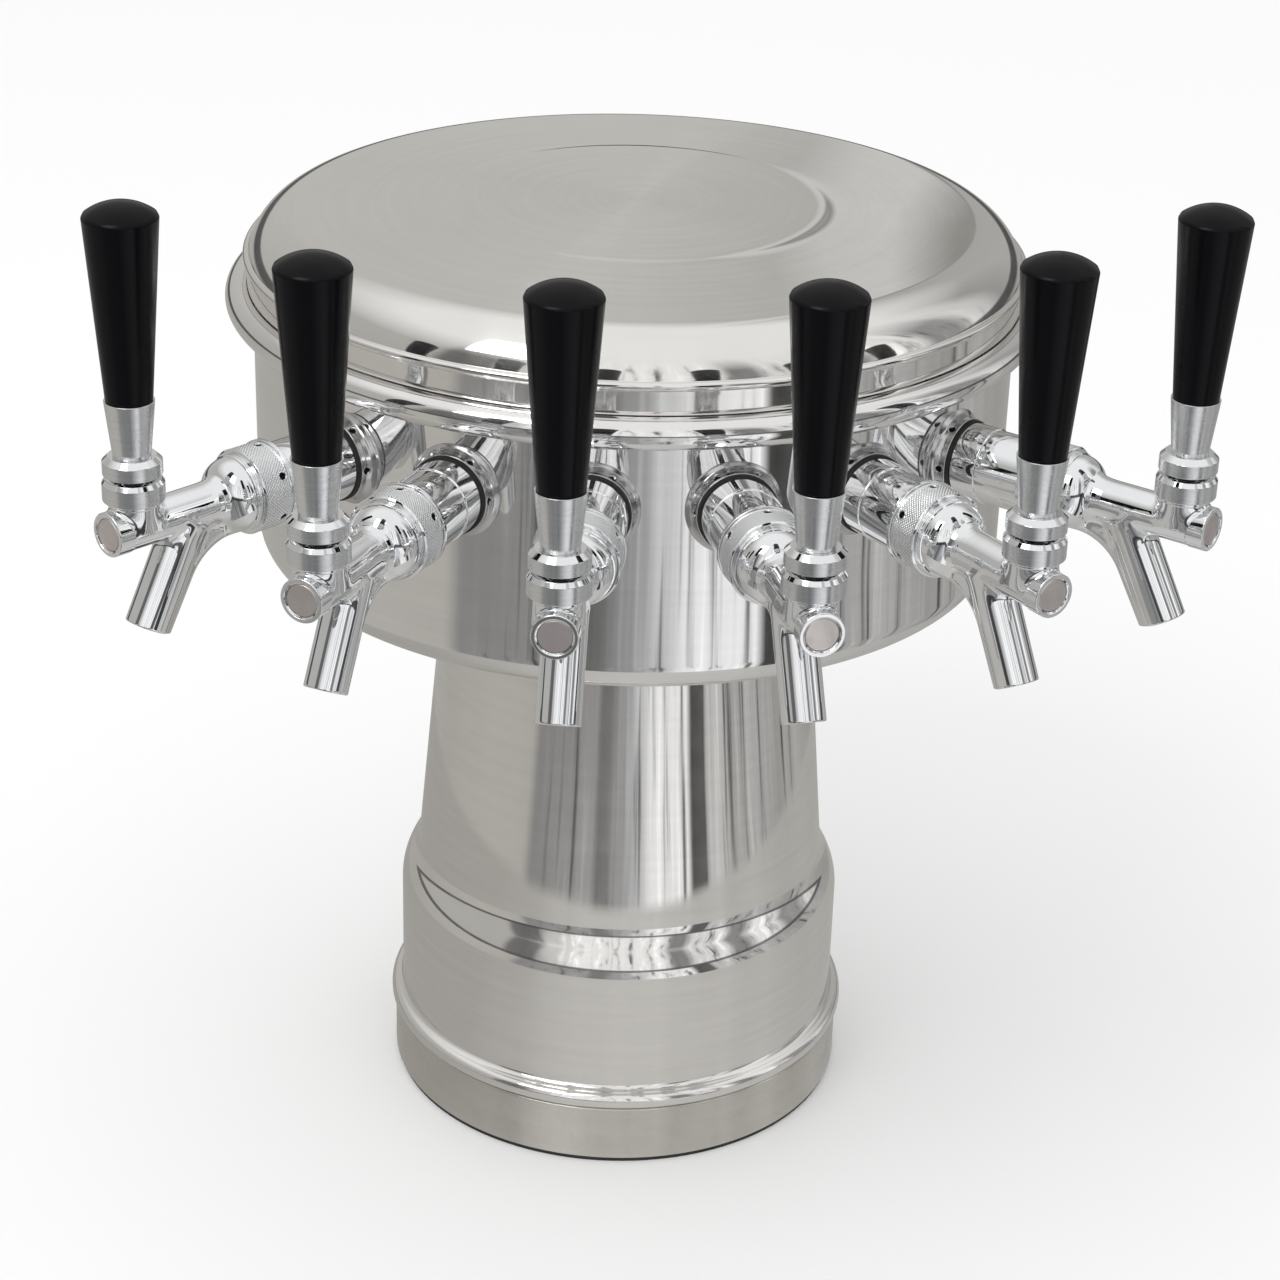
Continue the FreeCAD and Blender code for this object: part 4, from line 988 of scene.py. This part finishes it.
# What polished metal sees round the studio, below and above the horizon: degrees from the
# camera's side, grey, warmth
LOW_BANDS = [
    (-180, 0.44, 1.0), (-120, 0.42, 1.2), (-75, 0.47, 1.3), (-50, 0.46, 1.4), (-46, 0.26, 0.2),
    (-14, 0.30, 0.0), (-11, 0.13, 0.0), (-5, 0.17, 0.0), (-2, 0.30, -0.5), (5, 0.36, -0.5),
    (8, 0.72, -0.6), (12, 0.62, -0.6), (15, 0.98, -0.3), (35, 1.05, -0.3), (38, 0.05, 0.5),
    (45, 0.05, 0.5), (47, 0.60, 0.0), (58, 0.56, 0.2), (62, 0.42, 0.3), (80, 0.46, 0.1),
    (95, 0.36, 0.5), (112, 0.44, 0.5), (135, 0.34, 1.0), (180, 0.44, 1.0),
]
HIGH_BANDS = [
    (-180, 0.53, 0.8), (-170, 0.54, 0.8), (-120, 0.45, 0.8), (-60, 0.45, 0.8), (-56, 0.14, 0.3),
    (-42, 0.12, 0.3), (-38, 0.5, 0.3), (-30, 0.6, 0.2), (-20, 0.98, 0.0), (25, 1.0, 0.0),
    (29, 0.2, 0.0), (36, 0.25, 0.0), (40, 0.8, 0.0), (58, 0.9, 0.0), (62, 0.22, 0.0),
    (70, 0.3, 0.0), (76, 0.95, 0.0), (90, 0.9, 0.0), (96, 0.28, 0.0), (108, 0.35, 0.2),
    (114, 0.8, 0.0), (124, 0.6, 0.0), (132, 0.34, 0.5), (150, 0.44, 0.5), (171, 0.42, 0.6),
    (171.6, 0.24, 1.2), (172.2, 0.66, 0.4), (174.6, 0.60, 0.5), (175.2, 0.34, 1.2),
    (175.8, 0.46, 0.8), (180, 0.53, 0.8),
]
# greys of the round table painted on the floor as a glow that polished metal reflects: degrees
# from the camera's side, grey, warmth
PAINTED_TABLE_BANDS = [(-180, 0.36, 1.2), (-60, 0.39, 1.2), (0, 0.58, 0.8), (40, 0.54, 0.8), (90, 0.46, 0.8),
         (180, 0.40, 1.2)]
STREAKS = [(0.30, 0.12), (0.36, 0.45), (0.43, 0.9), (0.56, 1.0), (0.66, 1.3)]  # noise, grey
STREAK_COUNT = 85.0        # in a full turn
STREAK_WAVER = 1.4         # how fast a streak changes with height
WHITE = (1.0, 1.0, 1.0, 1)
ROOF = (0.9, 0.9, 0.9, 1)
HORIZON = (0.03, 0.03, 0.035, 1)


def tone(grey, warmth):
    """A grey, slightly warm or cool."""
    return (grey * (1 + 0.022 * warmth), grey, grey * (1 - 0.045 * warmth))


def bearing(tree, x, y):
    """Share of a full turn from behind the object to a direction, camera side at 0.5."""
    turn = tree.math("ARCTAN2", x, tree.math("MULTIPLY", y, -1.0))
    share = tree.math("ADD", tree.math("DIVIDE", turn, 2 * math.pi), 0.5 - CAMERA_TURN / 360)
    return tree.math("FRACT", share)


def bands(tree, share, table):
    """Colour of a table of bands at a bearing."""
    return tree.ramp(share, [(0.5 + a / 360, tone(g, w)) for a, g, w in table])


def between(tree, value, low, high, soft):
    """1 between two edges and 0 outside them, with soft edges."""
    return tree.math("MULTIPLY", tree.step(value, low, low + soft),
                     tree.step(value, high, high - soft))


def streaks(tree, share, height, colour):
    """Thin upright dark and light streaks on the camera's side and to its right."""
    where = tree.add("CombineXYZ", X=tree.math("MULTIPLY", share, STREAK_COUNT),
                     Y=tree.math("MULTIPLY", height, STREAK_WAVER))
    shade = tree.ramp(tree.noise(where, 1.0, 3.0, 0.65), [(p, (g,) * 3) for p, g in STREAKS])
    part = tree.math("MULTIPLY", tree.step(share, 0.36, 0.42), tree.step(share, 0.86, 0.78))
    return tree.mix(part, colour, tree.mix(1.0, colour, shade, "MULTIPLY"))


def room_group():
    """Node group: colour of the studio in a direction."""
    group = bpy.data.node_groups.new("room", "ShaderNodeTree")
    group.interface.new_socket("Direction", in_out="INPUT", socket_type="NodeSocketVector")
    group.interface.new_socket("Color", in_out="OUTPUT", socket_type="NodeSocketColor")
    tree = Tree(group)
    enter = group.nodes.new("NodeGroupInput")
    leave = group.nodes.new("NodeGroupOutput")
    parts = tree.add("SeparateXYZ", Vector=enter.outputs[0])
    share = bearing(tree, parts.outputs[0], parts.outputs[1])
    height = parts.outputs[2]
    low, high = bands(tree, share, LOW_BANDS), bands(tree, share, HIGH_BANDS)
    walls = tree.mix(tree.step(height, -0.02, 0.03), low, high)
    walls = streaks(tree, share, height, walls)
    line = tree.math("MULTIPLY", between(tree, height, -0.09, 0.06, 0.03), 0.9)
    room = tree.mix(line, walls, HORIZON)
    tree.feed(leave, "0", tree.mix(tree.step(height, 0.5, 0.8), room, ROOF))
    return group


ROOM = room_group()


def room_colour(tree, direction):
    """The studio's colour in a direction, in a material or the world."""
    node = tree.add("Group", {"node_tree": ROOM})
    tree.feed(node, "Direction", direction)
    return node.outputs[0]


def build_world():
    """White to the camera and to matt surfaces, the studio to polished metal."""
    world = bpy.data.worlds.new("studio")
    bpy.context.scene.world = world
    world.use_nodes = True
    tree = Tree(world.node_tree)
    shiny = tree.add("LightPath").outputs["Is Glossy Ray"]
    seen = room_colour(tree, tree.add("TexCoord").outputs["Generated"])
    tree.feed(world.node_tree.nodes["Background"], "Color", tree.mix(shiny, WHITE, seen))


def build_floor():
    """Pale floor; to polished metal it glows with a painted reflection of a round table on it and
    of the studio past the table.
    """
    ends = (-FLOOR_HALF, FLOOR_HALF)
    mesh = bpy.data.meshes.new("floor")
    mesh.from_pydata([(x, y, 0) for x in ends for y in ends], [], [(0, 2, 3, 1)])
    floor = bpy.data.objects.new("floor", mesh)
    bpy.context.scene.collection.objects.link(floor)
    material, tree, shader = new_material("pale_floor")
    tree.feed(shader, "Base Color", (0.94, 0.94, 0.94, 1))
    tree.feed(shader, "Roughness", 0.9)
    tree.feed(shader, "Specular IOR Level", 0.0)
    place = tree.add("NewGeometry").outputs["Position"]
    parts = tree.add("SeparateXYZ", Vector=place)
    table = bands(tree, bearing(tree, parts.outputs[0], parts.outputs[1]), PAINTED_TABLE_BANDS)
    reach = tree.vector("LENGTH", place).outputs["Value"]
    off = tree.step(reach, PAINTED_TABLE_RADIUS, PAINTED_TABLE_RADIUS + 0.02)
    way = tree.vector("NORMALIZE", tree.vector("SUBTRACT", place, ROOM_EYE))
    # painted reflection: for glossy rays the floor glows with the table and the studio instead of
    # being lit
    glow = tree.add("Emission", Color=tree.mix(off, table, room_colour(tree, way)), Strength=1.0)
    blend = tree.add("MixShader", Fac=tree.add("LightPath").outputs["Is Glossy Ray"])
    tree.feed(blend, "1", shader)
    tree.feed(blend, "2", glow)
    tree.feed(material.node_tree.nodes["Material Output"], "Surface", blend)
    mesh.materials.append(material)


def build_key_light():
    """One soft square light, high on the left."""
    place, target = Vector((-0.9, -1.0, 1.9)), Vector((0, 0, 0.3))
    data = bpy.data.lights.new("key", "AREA")
    data.energy = 9.0      # watts
    data.size = 0.9
    light = bpy.data.objects.new("key", data)
    bpy.context.scene.collection.objects.link(light)
    light.location = place
    light.rotation_euler = (target - place).to_track_quat("-Z", "Y").to_euler()


def build_camera():
    """Camera in front and above, rolled a little."""
    turn = math.radians(CAMERA_TURN)
    place = Vector((CAMERA_AWAY * math.sin(turn), -CAMERA_AWAY * math.cos(turn), CAMERA_HEIGHT))
    target = Vector((AIM_SIDE * math.cos(turn), AIM_SIDE * math.sin(turn), AIM_HEIGHT))
    ahead = (target - place).normalized()
    right = ahead.cross(Vector((0, 0, 1))).normalized()
    up = right.cross(ahead)
    side = right * math.cos(CAMERA_ROLL) + up * math.sin(CAMERA_ROLL)
    top = up * math.cos(CAMERA_ROLL) - right * math.sin(CAMERA_ROLL)
    data = bpy.data.cameras.new("camera")
    data.lens = LENS
    data.sensor_width = SENSOR
    camera = bpy.data.objects.new("camera", data)
    bpy.context.scene.collection.objects.link(camera)
    basis = Matrix((side, top, -ahead)).transposed().to_4x4()
    camera.matrix_world = Matrix.Translation(place) @ basis
    bpy.context.scene.camera = camera


build_tower()
build_taps()
finish_cad_nodes()
build_world()
build_floor()
build_key_light()
build_camera()
bpy.context.scene.view_settings.view_transform = "Standard"
